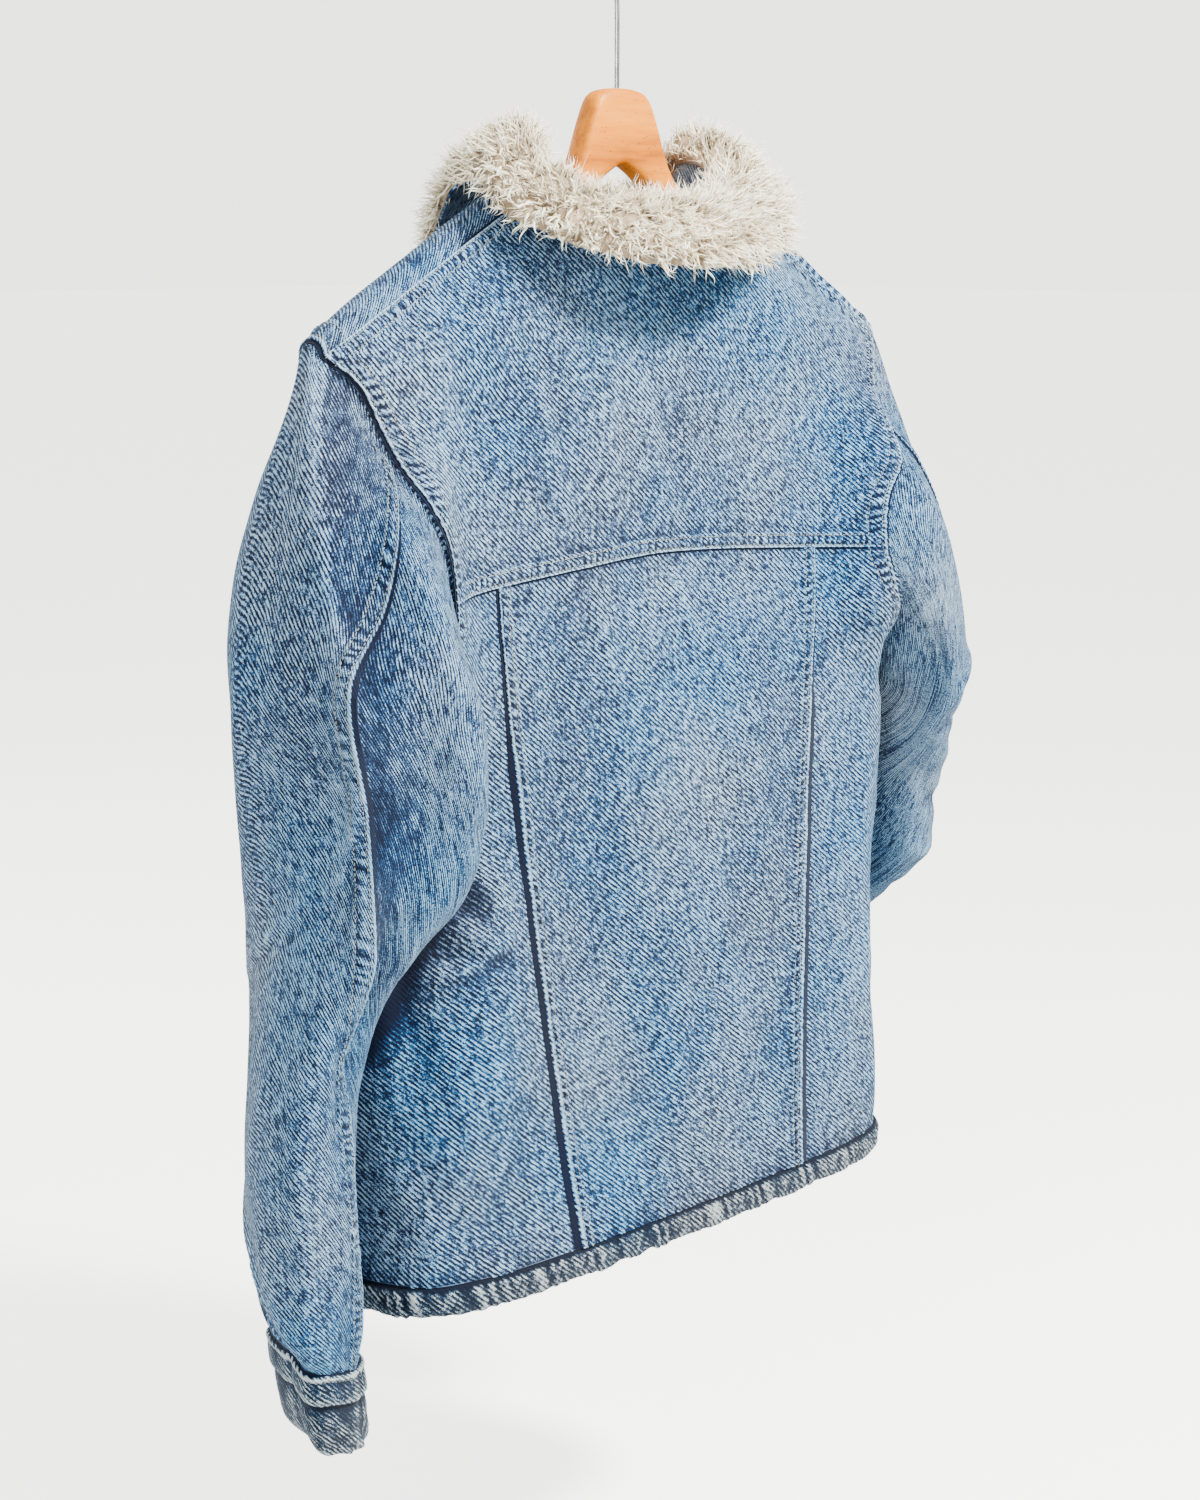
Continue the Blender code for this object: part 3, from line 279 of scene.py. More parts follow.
def carry_over_shoulder(points, normals, seam_points, seam_normals):
    """Bends a front's last rows over the shoulder's ridge to the seam, which the back's top row gives."""
    first = FRONT_PLACES.index(SHOULDER)
    for i in range(NECK_CELLS, points.shape[1]):
        front, back = points[first, i].copy(), seam_points[i]
        reach = (front - back) / 2
        rise = np.array((0, 0, np.linalg.norm(reach) * SHOULDER_ARC_RISE))
        for row in range(first, len(FRONT_PLACES)):
            turn = math.pi * (FRONT_PLACES[row] - SHOULDER)
            points[row, i] = (front + back) / 2 + reach * math.cos(turn) + rise * math.sin(turn)
    carried = points[first:, NECK_CELLS:]
    over = unit(np.cross(np.gradient(carried, axis=1), np.gradient(carried, axis=0)))
    over *= np.sign(over[1:2, :, 2:3])
    normals[first, NECK_CELLS:] = unit(normals[first, NECK_CELLS:] + over[0])
    normals[first + 1 :, NECK_CELLS:] = over[1:]
    normals[-1, NECK_CELLS:] = seam_normals[NECK_CELLS:]


def tube_normals(rings):
    """Outward normals of a tube's rings of points."""
    around = np.roll(rings, -1, axis=1) - np.roll(rings, 1, axis=1)
    normals = unit(np.cross(around, np.gradient(rings, axis=0)))
    outward = rings - rings.mean(axis=1, keepdims=True)
    return normals * np.sign((normals * outward).sum())


def smooth_at(grid, rows, columns, closed=False):
    """A grid's values at fractional rows and columns, on smooth curves through its own points."""

    def weights(s):
        shares = (2 * s * s - s - s**3, 2 - 5 * s * s + 3 * s**3, s + 4 * s * s - 3 * s**3, s**3 - s * s)
        return np.stack(shares, -1) / 2

    rows, columns = np.broadcast_arrays(np.asarray(rows, float), np.asarray(columns, float))
    height, width = grid.shape[:2]
    ring = np.concatenate((2 * grid[:1] - grid[1:2], grid, 2 * grid[-1:] - grid[-2:-1]))
    if closed:
        columns = columns % width
        ring = np.concatenate((ring[:, -1:], ring, ring[:, :2]), axis=1)
    else:
        before, after = 2 * ring[:, :1] - ring[:, 1:2], 2 * ring[:, -1:] - ring[:, -2:-1]
        ring = np.concatenate((before, ring, after), axis=1)
    i = np.clip(np.floor(rows).astype(int), 0, height - 2)
    j = np.clip(np.floor(columns).astype(int), 0, width - (1 if closed else 2))
    row_weights, column_weights = weights(rows - i), weights(columns - j)
    total = 0.0
    for a in range(4):
        for b in range(4):
            total = total + (row_weights[..., a] * column_weights[..., b])[..., None] * ring[i + a, j + b]
    return total


def lengths_along(points, axis):
    """Length run along each of a grid's lines, from its first point."""
    steps = np.linalg.norm(np.diff(points, axis=axis), axis=-1)
    start = np.zeros_like(np.take(steps, [0], axis=axis))
    return np.concatenate((start, np.cumsum(steps, axis=axis)), axis=axis)


def even_places(points, axis, first, last, step):
    """Fractional places between two rows or columns of a grid, a step apart on its middle line."""
    line = lengths_along(points, axis).mean(axis=1 - axis)
    count = max(2, int(round((line[last] - line[first]) / step)))
    return np.interp(np.linspace(line[first], line[last], count + 1), line, range(len(line)))


def unevenness(points, size, seed, stretch=(1.0, 1.0, 1.0)):
    """Smooth unevenness between about -1 and 1, of this size, at each point."""
    draw = np.random.default_rng(seed)
    total = 0.0
    for _ in range(9):
        way = unit(draw.normal(size=3)) * 2 * math.pi / size * draw.uniform(0.6, 1.5) / np.array(stretch)
        total = total + np.sin(points @ way + draw.uniform(0, 2 * math.pi))
    return total / 3.2


# Creases, from one point to another, paler on their ridges from wear and darker in their troughs, partly
# cloth kept dark and partly painted shade. lift is negative for a trough, pale is how much lighter the cloth
# is, and fall is how far the cloth drops on the crease's right side, looking along it, with painted shade
# there.
Crease = namedtuple("Crease", "across_from up_from across_to up_to width lift pale fall", defaults=(0.0,))
FALL_REACH = 0.020
FALL_DEPTH = 0.0045
FALL_EDGE = 0.005
FALL_SHADE_EDGE = 0.002
PALE_NARROW = 2.2
BACK_CREASES = table(Crease, (
    (0.125, -0.285, 0.092, -0.415, 0.007, 0.0016, 0.24),
    (0.112, -0.290, 0.076, -0.415, 0.008, -0.0012, -0.12),
    (0.060, -0.270, 0.045, -0.410, 0.010, 0.0018, 0.12),
    (0.030, -0.300, -0.015, -0.412, 0.008, 0.0016, 0.16),
    (0.012, -0.300, -0.035, -0.412, 0.008, -0.0012, -0.10),
    (-0.060, -0.260, -0.075, -0.400, 0.012, 0.0018, 0.10),
    (0.072, -0.435, 0.050, -0.520, 0.006, 0.0014, 0.26),
    (0.050, -0.520, 0.042, -0.640, 0.008, 0.0015, 0.12),
    (-0.012, -0.440, -0.036, -0.505, 0.006, 0.0014, 0.24),
    (0.105, -0.450, 0.110, -0.600, 0.012, -0.0018, -0.08),
    (0.015, -0.560, 0.030, -0.700, 0.010, 0.0015, 0.12),
    (-0.040, -0.640, -0.070, -0.840, 0.009, 0.0020, 0.16),
    (-0.085, -0.520, -0.090, -0.700, 0.014, 0.0018, 0.08),
    (0.090, -0.700, 0.060, -0.860, 0.012, 0.0018, 0.08),
    (0.020, -0.760, -0.020, -0.880, 0.008, 0.0018, 0.14),
    (-0.020, -0.700, 0.000, -0.870, 0.010, -0.0018, -0.08),
    (0.215, -0.235, 0.200, -0.335, 0.010, 0.0020, 0.20),
    (0.175, -0.225, 0.130, -0.262, 0.012, -0.0022, -0.14),
    (0.205, -0.565, 0.190, -0.650, 0.009, -0.0010, -0.20),
    # The next three are shallow troughs whose darkening is painted shade between the left sleeve and the side
    # panel.
    (0.198, -0.545, 0.285, -0.745, 0.026, -0.0040, -2.40),
    (0.196, -0.500, 0.238, -0.665, 0.022, -0.0020, -2.00),
    (0.225, -0.560, 0.300, -0.720, 0.030, -0.0020, -1.60),
    (0.176, -0.640, 0.226, -0.600, 0.007, 0.0036, 0.24, 0.8),
    (0.226, -0.622, 0.184, -0.655, 0.005, -0.0034, -0.50),
    (0.236, -0.640, 0.190, -0.668, 0.007, 0.0034, 0.16),
    (0.232, -0.668, 0.160, -0.684, 0.005, -0.0036, -0.55),
    (0.160, -0.664, 0.240, -0.694, 0.007, 0.0030, 0.24, 0.6),
    (0.240, -0.712, 0.176, -0.700, 0.008, 0.0018, 0.10),
    (0.250, -0.700, 0.225, -0.760, 0.010, -0.0022, -0.22),
    (0.260, -0.760, 0.200, -0.850, 0.012, 0.0032, 0.14),
    (0.300, -0.800, 0.240, -0.878, 0.010, -0.0030, -0.12),
    (0.190, -0.730, 0.178, -0.850, 0.008, 0.0018, 0.10),
    (-0.200, -0.300, -0.205, -0.400, 0.012, 0.0020, 0.10),
    (-0.202, -0.452, -0.240, -0.565, 0.012, 0.0026, 0.14),
    (-0.225, -0.455, -0.262, -0.560, 0.012, -0.0026, -0.22),
    (-0.220, -0.560, -0.200, -0.720, 0.010, 0.0024, 0.12),
    (-0.240, -0.600, -0.225, -0.800, 0.012, -0.0026, -0.18),
    (-0.175, -0.620, -0.185, -0.860, 0.010, 0.0018, 0.10),
    (-0.260, -0.760, -0.215, -0.860, 0.010, 0.0022, 0.12),
))


def creased(creases, across, up):
    """The creases' height and paleness at each point of a sheet, the paleness holding painted shade in the
    troughs and beside the falls; each fades towards its ends.
    """
    lift, pale = np.zeros(across.shape), np.zeros(across.shape)
    for crease in creases:
        run_across, run_up = crease.across_to - crease.across_from, crease.up_to - crease.up_from
        from_across, from_up = across - crease.across_from, up - crease.up_from
        share = np.clip((from_across * run_across + from_up * run_up) / (run_across**2 + run_up**2), 0, 1)
        away = np.hypot(from_across - share * run_across, from_up - share * run_up) / crease.width
        fading = np.sqrt(np.sin(math.pi * share).clip(0))
        lift += crease.lift * np.exp(-away * away) * fading
        pale += crease.pale * np.exp(-away * away * PALE_NARROW) * fading
        if crease.fall:
            right = (run_up * from_across - run_across * from_up) / math.hypot(run_across, run_up)
            reach = crease.fall * np.exp(-np.maximum(right, 0) / FALL_REACH)
            reach = reach * fading * (share > 0) * (share < 1)
            lift -= FALL_DEPTH * reach * np.clip(right / FALL_EDGE, 0, 1)
            # painted shade darkens the cloth on the fall's side
            pale -= reach * np.clip(right / FALL_SHADE_EDGE, 0, 1)
    return lift, pale


def puckers(along, away, period, seed, reach=0.010):
    """Small waves that a seam draws up beside it, dying out away from it."""
    draw = np.random.default_rng(seed)
    turns = 2 * math.pi * along / period
    wander = sum(1.4 * np.sin(turns * draw.uniform(0.12, 0.4) + draw.uniform(0, 6.3)) for _ in range(3))
    height = 0.6 + 0.4 * np.sin(turns * 0.23 + draw.uniform(0, 6.3))
    return np.sin(turns + wander) * height * np.exp(-np.abs(away) / reach)


# What a piece of cloth is made of: its points, normals, how pale it is, from wear and on creased cloth also
# from painted shade, and its place on the flat cut.
Cloth = namedtuple("Cloth", "points normals pale cut")
Wall = namedtuple("Wall", "outer inner pale cut closed", defaults=(False,))
CLOTH_STEP = 0.0036


def panel(cloth, grid, rows, columns, step=CLOTH_STEP):
    """A wall of cloth over a block of a sheet's grid, with even cells."""
    row_places = even_places(grid[..., :3], 0, *rows, step)
    column_places = even_places(grid[..., :3], 1, *columns, step)
    made = cloth(row_places[:, None], column_places[None, :])
    inner = made.points - made.normals * WALL
    return Wall(made.points, inner, made.pale, made.cut)


# A felled band, across from its folded edge over the ditch to its soft edge: share of its width, height,
# paleness, how far the roping works it, and whether a row of stitching runs there.
BandRow = namedtuple("BandRow", "share height pale roped stitched")
BAND = table(BandRow, (
    (-0.19, -0.0010, -0.30, 0.0, False),
    (-0.15, 0.0004, -1.20, 0.0, False),
    (-0.03, 0.0005, -1.60, 0.0, False),
    (0.00, 0.0012, -0.20, 0.0, False),
    (0.03, 0.0019, 0.90, 0.0, False),
    (0.10, 0.0019, 0.90, 0.1, False),
    (0.15, 0.0013, 0.05, 0.1, False),
    (0.19, 0.0009, -0.30, 0.1, True),
    (0.27, 0.0014, -0.06, 0.8, False),
    (0.39, 0.0019, 0.02, 1.0, False),
    (0.52, 0.0020, 0.02, 1.0, False),
    (0.65, 0.0018, 0.00, 1.0, False),
    (0.75, 0.0013, -0.10, 0.8, False),
    (0.82, 0.0008, -0.32, 0.1, True),
    (0.90, 0.0012, 0.30, 0.3, False),
    (0.99, 0.0007, 0.12, 0.2, False),
    (1.05, -0.0006, -0.05, 0.0, False),
))
BAND_STEP = 0.0016
ROPE_HEIGHT = 0.0006
ROPE_PALE = 0.90
ROPE_SLANT = 0.45
ROPE_TICK = 0.0068
YOKE_TICK = 0.0062
CENTRE_TICK = 0.0075
SLEEVE_TICK = 0.0070
STITCH_LIFT = 0.00015
stitch_lines = []


def add_band(walls, cloth, ditch, soft, tick, seed):
    """Lays a felled band on a cloth between two lines of places, and keeps its two rows of stitching."""
    shares, heights, pales, roped, _ = np.array(BAND).T
    shares = shares[:, None]
    places = ditch[:, None] * (1 - shares) + soft[:, None] * shares
    made = cloth(places[..., 0], places[..., 1])
    along = lengths_along(made.points[:, len(BAND) // 2][:, None], 0)
    draw = np.random.default_rng(seed)
    turns = 2 * math.pi * (along / tick + ROPE_SLANT * shares[:, 0])
    wander = sum(0.9 * np.sin(turns * draw.uniform(0.05, 0.3) + draw.uniform(0, 6.3)) for _ in range(3))
    strength = 0.62 + 0.38 * np.sin(turns * 0.11 + draw.uniform(0, 6.3))
    rope = np.sin(turns + wander) * strength * roped
    height = heights + rope * ROPE_HEIGHT
    pale = made.pale * 0.5 + pales + rope * ROPE_PALE
    top = made.points + made.normals * height[..., None]
    under = made.points - made.normals * WALL / 2
    walls.append(Wall(top, under, pale, made.cut))
    for j, row in enumerate(BAND):
        if row.stitched:
            stitch_lines.append(top[:, j] + made.normals[:, j] * STITCH_LIFT)


def upright_band(walls, cloth, grid, rows, ditch_column, soft_column, tick, seed):
    """A felled band that runs up a sheet."""
    along = even_places(grid[..., :3], 0, *rows, BAND_STEP)
    ditch = np.stack((along, np.full(len(along), float(ditch_column))), 1)
    soft = np.stack((along, np.full(len(along), float(soft_column))), 1)
    add_band(walls, cloth, ditch, soft, tick, seed)


def level_band(walls, cloth, grid, columns, row, upward, tick, seed):
    """A felled band that runs across a sheet, its soft edge a band's width above or below the ditch."""
    along = even_places(grid[..., :3], 1, *columns, BAND_STEP)
    cells = np.linalg.norm(grid[row + upward, :, :3] - grid[row, :, :3], axis=-1)
    reach = upward * BAND_WIDTH / np.interp(along, range(len(cells)), cells)
    ditch = np.stack((np.full(len(along), float(row)), along), 1)
    soft = np.stack((row + reach, along), 1)
    add_band(walls, cloth, ditch, soft, tick, seed)


def grid_faces(numbers, closed=False):
    """The faces of a grid of numbered points."""
    beside = np.roll(numbers, -1, axis=1)
    wide = numbers.shape[1] - (not closed)
    corners = (numbers[:-1, :wide], beside[:-1, :wide], beside[1:, :wide], numbers[1:, :wide])
    return np.stack(corners, -1).reshape(-1, 4)


def wall_faces(wall, start):
    """The faces of one wall, outside first, then inside and rim, as numbers of its points."""
    rows, columns = wall.outer.shape[:2]
    size = rows * columns
    numbers = start + np.arange(size).reshape(rows, columns)
    outside = grid_faces(numbers, wall.closed)
    inside = outside[:, ::-1] + size
    cells = outside.reshape(rows - 1, -1, 4)
    edges = (cells[0], cells[:, -1], cells[-1], cells[:, 0])
    rims = []
    for k in (0, 2) if wall.closed else range(4):
        first, last = edges[k][:, k], edges[k][:, (k + 1) % 4]
        rims.append(np.stack((last, first, first + size, last + size), 1))
    faces = np.concatenate([outside, inside] + rims)
    points = wall.outer.reshape(-1, 3)
    across = points[outside[:, 2] - start] - points[outside[:, 0] - start]
    up = points[outside[:, 3] - start] - points[outside[:, 1] - start]
    away = (wall.outer - wall.inner).reshape(-1, 3)[outside[:, 0] - start]
    if (np.cross(across, up) * away).sum() < 0:
        faces = faces[:, ::-1]
    return faces, len(outside)


def dress(piece, nodes):
    """Hands a finished piece over: it moves with the jacket and stands for its solids, which are hidden."""
    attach(piece, "root")
    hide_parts(*nodes)


def add_object(name, data):
    made = bpy.data.objects.new(name, data)
    bpy.context.scene.collection.objects.link(made)
    return made


def add_mesh(name, points, faces, finishes, smooth_to=55):
    mesh = bpy.data.meshes.new(name)
    mesh.from_pydata(points.tolist(), [], faces.tolist() if isinstance(faces, np.ndarray) else faces)
    mesh.shade_smooth()
    mesh.set_sharp_from_angle(angle=math.radians(smooth_to))
    for finish in finishes:
        mesh.materials.append(finish)
    return add_object(name, mesh)


def add_cloth(part, walls, finishes, cut_walls=1):
    """One part's cloth from its walls, the first of them its cut; the size of a flat sheet for the cut is
    worked out and not used.
    """
    points, faces, pale, cut, inside = [], [], [], [], []
    start = 0
    for wall in walls:
        made, outside = wall_faces(wall, start)
        faces.append(made)
        inside.append(np.arange(len(made)) >= outside)
        for layer in (wall.outer, wall.inner):
            points.append(layer.reshape(-1, 3))
            pale.append(wall.pale.ravel())
            cut.append(wall.cut.reshape(-1, 2))
        start += 2 * wall.pale.size
    points, faces, pale, cut = (np.concatenate(found) for found in (points, faces, pale, cut))
    used, numbered = np.unique(faces, return_inverse=True)
    points, pale, cut, faces = points[used], pale[used], cut[used], numbered.reshape(faces.shape)
    piece = add_mesh(part + "_cloth", points, faces, finishes)
    mesh = piece.data
    mesh.polygons.foreach_set("material_index", np.concatenate(inside).astype(np.int32))
    # This attribute carries the cloth's paleness: its wear, and on creased cloth also painted shade.
    mesh.attributes.new("worn_and_shaded", "FLOAT", "POINT").data.foreach_set("value", pale.astype(np.float32))
    loops = np.zeros(len(mesh.loops), np.int32)
    mesh.loops.foreach_get("vertex_index", loops)
    mesh.uv_layers.new(name="cut").data.foreach_set("uv", cut[loops].astype(np.float32).ravel())
    dress(piece, (part,))
    flat = np.ptp(np.concatenate([wall.cut.reshape(-1, 2) for wall in walls[:cut_walls]]), axis=0)
    area = 0.0
    for wall in walls[:cut_walls]:
        cells = np.cross(np.diff(wall.outer, axis=0)[:, :-1], np.diff(wall.outer, axis=1)[:-1])
        area += float(np.linalg.norm(cells, axis=-1).sum())
    flat = np.ceil(np.maximum(flat, flat * math.sqrt(area / flat.prod())) * 1000) / 1000


def fill(tree, made, values):
    """Sets a node's inputs, or joins them to other nodes, by name or number."""
    for name, value in dict(values).items():
        if isinstance(value, bpy.types.NodeSocket):
            tree.links.new(value, made.inputs[name])
        else:
            made.inputs[name].default_value = value


def node(tree, kind, values=(), **settings):
    """A node with its settings and inputs; a kind without a prefix is a shader node."""
    made = tree.nodes.new(kind if "Node" in kind else "ShaderNode" + kind)
    for name, value in settings.items():
        setattr(made, name, value)
    fill(tree, made, values)
    return made


def calc(tree, operation, *values):
    return node(tree, "Math", dict(enumerate(values)), operation=operation).outputs[0]


def ramp(tree, factor, stops):
    """A run of colours over a factor."""
    made = node(tree, "ValToRGB", {0: factor})
    marks = made.color_ramp.elements
    marks[0].position, marks[1].position = stops[0][0], stops[-1][0]
    for place, _ in stops[1:-1]:
        marks.new(place)
    for mark, (_, colour) in zip(marks, stops):
        mark.color = (*colour, 1)
    return made.outputs[0]


def new_finish(name):
    """A new finish, with its tree of nodes and its shader."""
    finish = bpy.data.materials.new(name)
    finish.use_nodes = True
    return finish, finish.node_tree, finish.node_tree.nodes["Principled BSDF"]


def object_place(tree):
    return node(tree, "TexCoord").outputs["Object"]


def noise(tree, place, scale, detail, **more):
    values = {"Vector": place, "Scale": scale, "Detail": detail, **more}
    return node(tree, "TexNoise", values).outputs["Fac"]


def bumped(tree, height, strength, distance):
    return node(tree, "Bump", {"Height": height, "Strength": strength, "Distance": distance}).outputs[0]


def new_group(name, kind, inputs, outputs):
    """An empty node group with its sockets, and the ends of its wiring."""
    group = bpy.data.node_groups.new(name, kind + "NodeTree")
    for socket, kind, value in inputs:
        made = group.interface.new_socket(socket, in_out="INPUT", socket_type="NodeSocket" + kind)
        if value is not None:
            made.default_value = value
    for socket, kind in outputs:
        group.interface.new_socket(socket, in_out="OUTPUT", socket_type="NodeSocket" + kind)
    return group, group.nodes.new("NodeGroupInput").outputs, group.nodes.new("NodeGroupOutput").inputs


# The twill: its ribs' spacing, the ways across and along them, how strong they are and how patchy, how far
# slubs sway them, how much fleck, slub, thread and patch show, how far wear and painted shade fade them all,
# and how much cloud, wear and painted shade change the tone about its middle.
RIB = 0.0029
ACROSS_RIBS = (-0.64, 0.77, 0.0)
ALONG_RIBS = (0.77, 0.64, 0.0)
RIB_BASE, RIB_PATCHY = 0.46, 0.8
SLUB_SWAY = 3.0
YARN_SHARES = (3.0, 3.4, 1.0, 0.40)
WEAR_AND_SHADE_FADE = 0.6
CLOUD_SHARE, WORN_AND_SHADED_SHARE, TWILL_MIDDLE = 0.30, 0.66, 0.47
SLUB_CELLS = (640.0, 150.0)


def worn_twill_group():
    """Washed indigo twill: diagonal ribs broken into flecks and slubs, paler where wear has faded it, darker
    at seams and where shade is painted.
    """
    inputs = (
        ("Cut", "Vector", None), ("Place", "Vector", None), ("Worn_and_shaded", "Float", 0.0),
        ("Contrast", "Float", 1.0),
    )
    group, given, out = new_group("worn twill", "Shader", inputs, (("Factor", "Float"), ("Height", "Float")))
    cut, place, worn_and_shaded = given["Cut"], given["Place"], given["Worn_and_shaded"]
    math_of = functools.partial(calc, group)

    def even_noise(vector, scale, detail, roughness):
        return math_of("SUBTRACT", noise(group, vector, scale, detail, Roughness=roughness), 0.5)

    def along(way):
        return node(group, "VectorMath", {0: cut, 1: way}, operation="DOT_PRODUCT").outputs["Value"]

    over, down = along(ACROSS_RIBS), along(ALONG_RIBS)
    stretched = {0: math_of("MULTIPLY", over, SLUB_CELLS[0]), 1: math_of("MULTIPLY", down, SLUB_CELLS[1])}
    lengthwise = node(group, "Mapping", {"Vector": cut, "Scale": (1.0, 0.12, 1.0)}).outputs[0]
    fleck = even_noise(place, 1100.0, 2.0, 0.7)
    slub = even_noise(node(group, "CombineXYZ", stretched).outputs[0], 1.0, 2.0, 0.65)
    thread = even_noise(lengthwise, 420.0, 2.0, 0.6)
    patch = even_noise(place, 75.0, 3.0, 0.6)
    cloud = even_noise(place, 14.0, 3.0, 0.55)
    turn = math_of("MULTIPLY", over, 2 * math.pi / RIB)
    rib = math_of("SINE", math_of("MULTIPLY_ADD", slub, SLUB_SWAY, turn))
    total = math_of("MULTIPLY", rib, math_of("MULTIPLY_ADD", patch, RIB_PATCHY, RIB_BASE))
    for part, share in zip((fleck, slub, thread, patch), YARN_SHARES):
        total = math_of("MULTIPLY_ADD", part, share, total)
    mark_strength = math_of("MINIMUM", math_of("ABSOLUTE", worn_and_shaded), 1.0)
    kept = math_of("MULTIPLY_ADD", mark_strength, -WEAR_AND_SHADE_FADE, 1.0)
    total = math_of("MULTIPLY", math_of("MULTIPLY", total, given["Contrast"]), kept)
    for part, share in ((cloud, CLOUD_SHARE), (worn_and_shaded, WORN_AND_SHADED_SHARE)):
        total = math_of("MULTIPLY_ADD", part, share, total)
    group.links.new(math_of("ADD", total, TWILL_MIDDLE), out["Factor"])
    height = math_of("MULTIPLY_ADD", rib, 0.5, math_of("MULTIPLY", slub, 2.2))
    group.links.new(height, out["Height"])
    return group


worn_twill = worn_twill_group()


def denim_finish(name, stops, contrast=1.0, sheen=0.06):
    """A denim finish of worn twill."""
    finish, tree, shader = new_finish(name)
    place = object_place(tree)
    values = {
        "Cut": node(tree, "UVMap", uv_map="cut").outputs["UV"],
        "Place": place,
        "Worn_and_shaded": node(tree, "Attribute", attribute_name="worn_and_shaded").outputs["Fac"],
        "Contrast": contrast,
    }
    twill = node(tree, "Group", values, node_tree=worn_twill).outputs
    strength = calc(tree, "MULTIPLY_ADD", noise(tree, place, 8.0, 2.0), 1.1, 0.42)
    dyed = {"Color": ramp(tree, twill["Factor"], stops), "Saturation": strength}
    fill(tree, shader, {
        "Base Color": node(tree, "HueSaturation", dyed).outputs[0],
        "Normal": bumped(tree, twill["Height"], 0.55, 0.0004),
        "Roughness": 0.92,
        "Specular IOR Level": 0.08,
        "Sheen Weight": sheen,
        "Sheen Roughness": 0.6,
        "Sheen Tint": (0.75, 0.85, 1.0, 1.0),
    })
    return finish


DENIM_BLUES = (
    (0.00, (0.001, 0.003, 0.012)),
    (0.24, (0.004, 0.014, 0.042)),
    (0.44, (0.012, 0.040, 0.100)),
    (0.60, (0.026, 0.073, 0.158)),
    (0.80, (0.063, 0.145, 0.250)),
    (1.00, (0.210, 0.355, 0.485)),
)
INSIDE_BLUES = ((0.0, (0.08, 0.13, 0.22)), (0.5, (0.24, 0.32, 0.42)), (1.0, (0.55, 0.60, 0.63)))
denim = denim_finish("washed_denim", DENIM_BLUES, contrast=1.1)
denim_inside = denim_finish("denim_inside", INSIDE_BLUES, contrast=0.7, sheen=0.1)
RUBBED_BLUES = (
    (0.00, (0.001, 0.003, 0.009)),
    (0.25, (0.006, 0.014, 0.030)),
    (0.45, (0.017, 0.032, 0.056)),
    (0.60, (0.034, 0.056, 0.080)),
    (0.80, (0.085, 0.115, 0.130)),
    (1.00, (0.300, 0.345, 0.350)),
)
rubbed_denim = denim_finish("rubbed_denim", RUBBED_BLUES, contrast=1.0)
DENIM_SIDES = (denim, denim_inside)

left_back = half_sheet(1, 1, BACK_PLACES, back_angles, BACK_NECK_TOPS)
right_back = half_sheet(1, -1, BACK_PLACES, back_angles, BACK_NECK_TOPS)
back_points, back_normals = (
    np.concatenate((right[:, :0:-1], left), axis=1) for left, right in zip(left_back, right_back)
)
middle = left_back[0].shape[1] - 1
seam_column = CENTRE_CELLS + 1
yoke_row = BACK_PLACES.index(YOKE)
band_start = BACK_PLACES.index(YOKE_SIDE_PLACES[2])


def back_sheet_grid():
    """The back's points and normals, and lengths across, past the long seam, from the edge, over the yoke's
    seam and up."""
    across = lengths_along(back_points, 1)
    across = across - across[:, middle : middle + 1]
    reach = np.abs(across)
    seam, edge = reach.copy(), reach.copy()
    halves = ((slice(0, middle), middle - seam_column, 0), (slice(middle, None), middle + seam_column, -1))
    for half, seam_at, edge_at in halves:
        seam[:, half] = reach[:, half] - reach[:, seam_at][:, None]
        edge[:, half] = reach[:, edge_at][:, None] - reach[:, half]
    up = lengths_along(back_points, 0)
    extra = np.stack((across, seam, edge, up - up[yoke_row], up), axis=2)
    return np.concatenate((back_points, back_normals, extra), axis=2)


back_grid = back_sheet_grid()
SEAM_PUCKER = 0.00045
SEAM_PALE = 0.16
SEAM_DARK = 0.20
SEAM_CLOSE = 0.0045
SEAM_PERIOD = 0.0085
YOKE_SEAM_PERIOD = 0.0075
HEM_PUCKER = 0.0010
HEM_PERIOD = 0.013
HEM_REACH = 0.014

# How unevenly worn cloth lies and fades, in waves, finer crumples and faded patches: the size of each, how
# much longer it is up the cloth, and how strongly it shows.
Wear = namedtuple("Wear", "sizes longer wave crumple patch")
BACK_WEAR = Wear((0.15, 0.045, 0.11), (2.2, 1.8, 2.5), 0.0011, 0.00035, 0.07)
FRONT_WEAR = BACK_WEAR._replace(wave=0.0010)
SLEEVE_WEAR = Wear((0.13, 0.040, 0.10), (2.0, 1.6, 2.4), 0.0011, 0.0004, 0.08)


def wear_of(wear, points, seed):
    """The height and the paleness of a cloth's unevenness."""
    waves, crumples, patches = (
        unevenness(points, wear.sizes[i], seed + i, (1.0, 1.0, wear.longer[i])) for i in range(3)
    )
    return wear.wave * waves + wear.crumple * crumples, 0.05 * crumples + wear.patch * patches


def seam_work(along, away, period, seed, below=0.0):
    """How a seam works the cloth beside it: puckers, and a darker line close to it, made darker still by
    below, which is painted shadow of a raised band.
    """
    waves = puckers(along, away, period, seed)
    close = np.exp(-np.abs(away) / SEAM_CLOSE)
    return waves * SEAM_PUCKER, waves * SEAM_PALE - close * (SEAM_DARK + below)


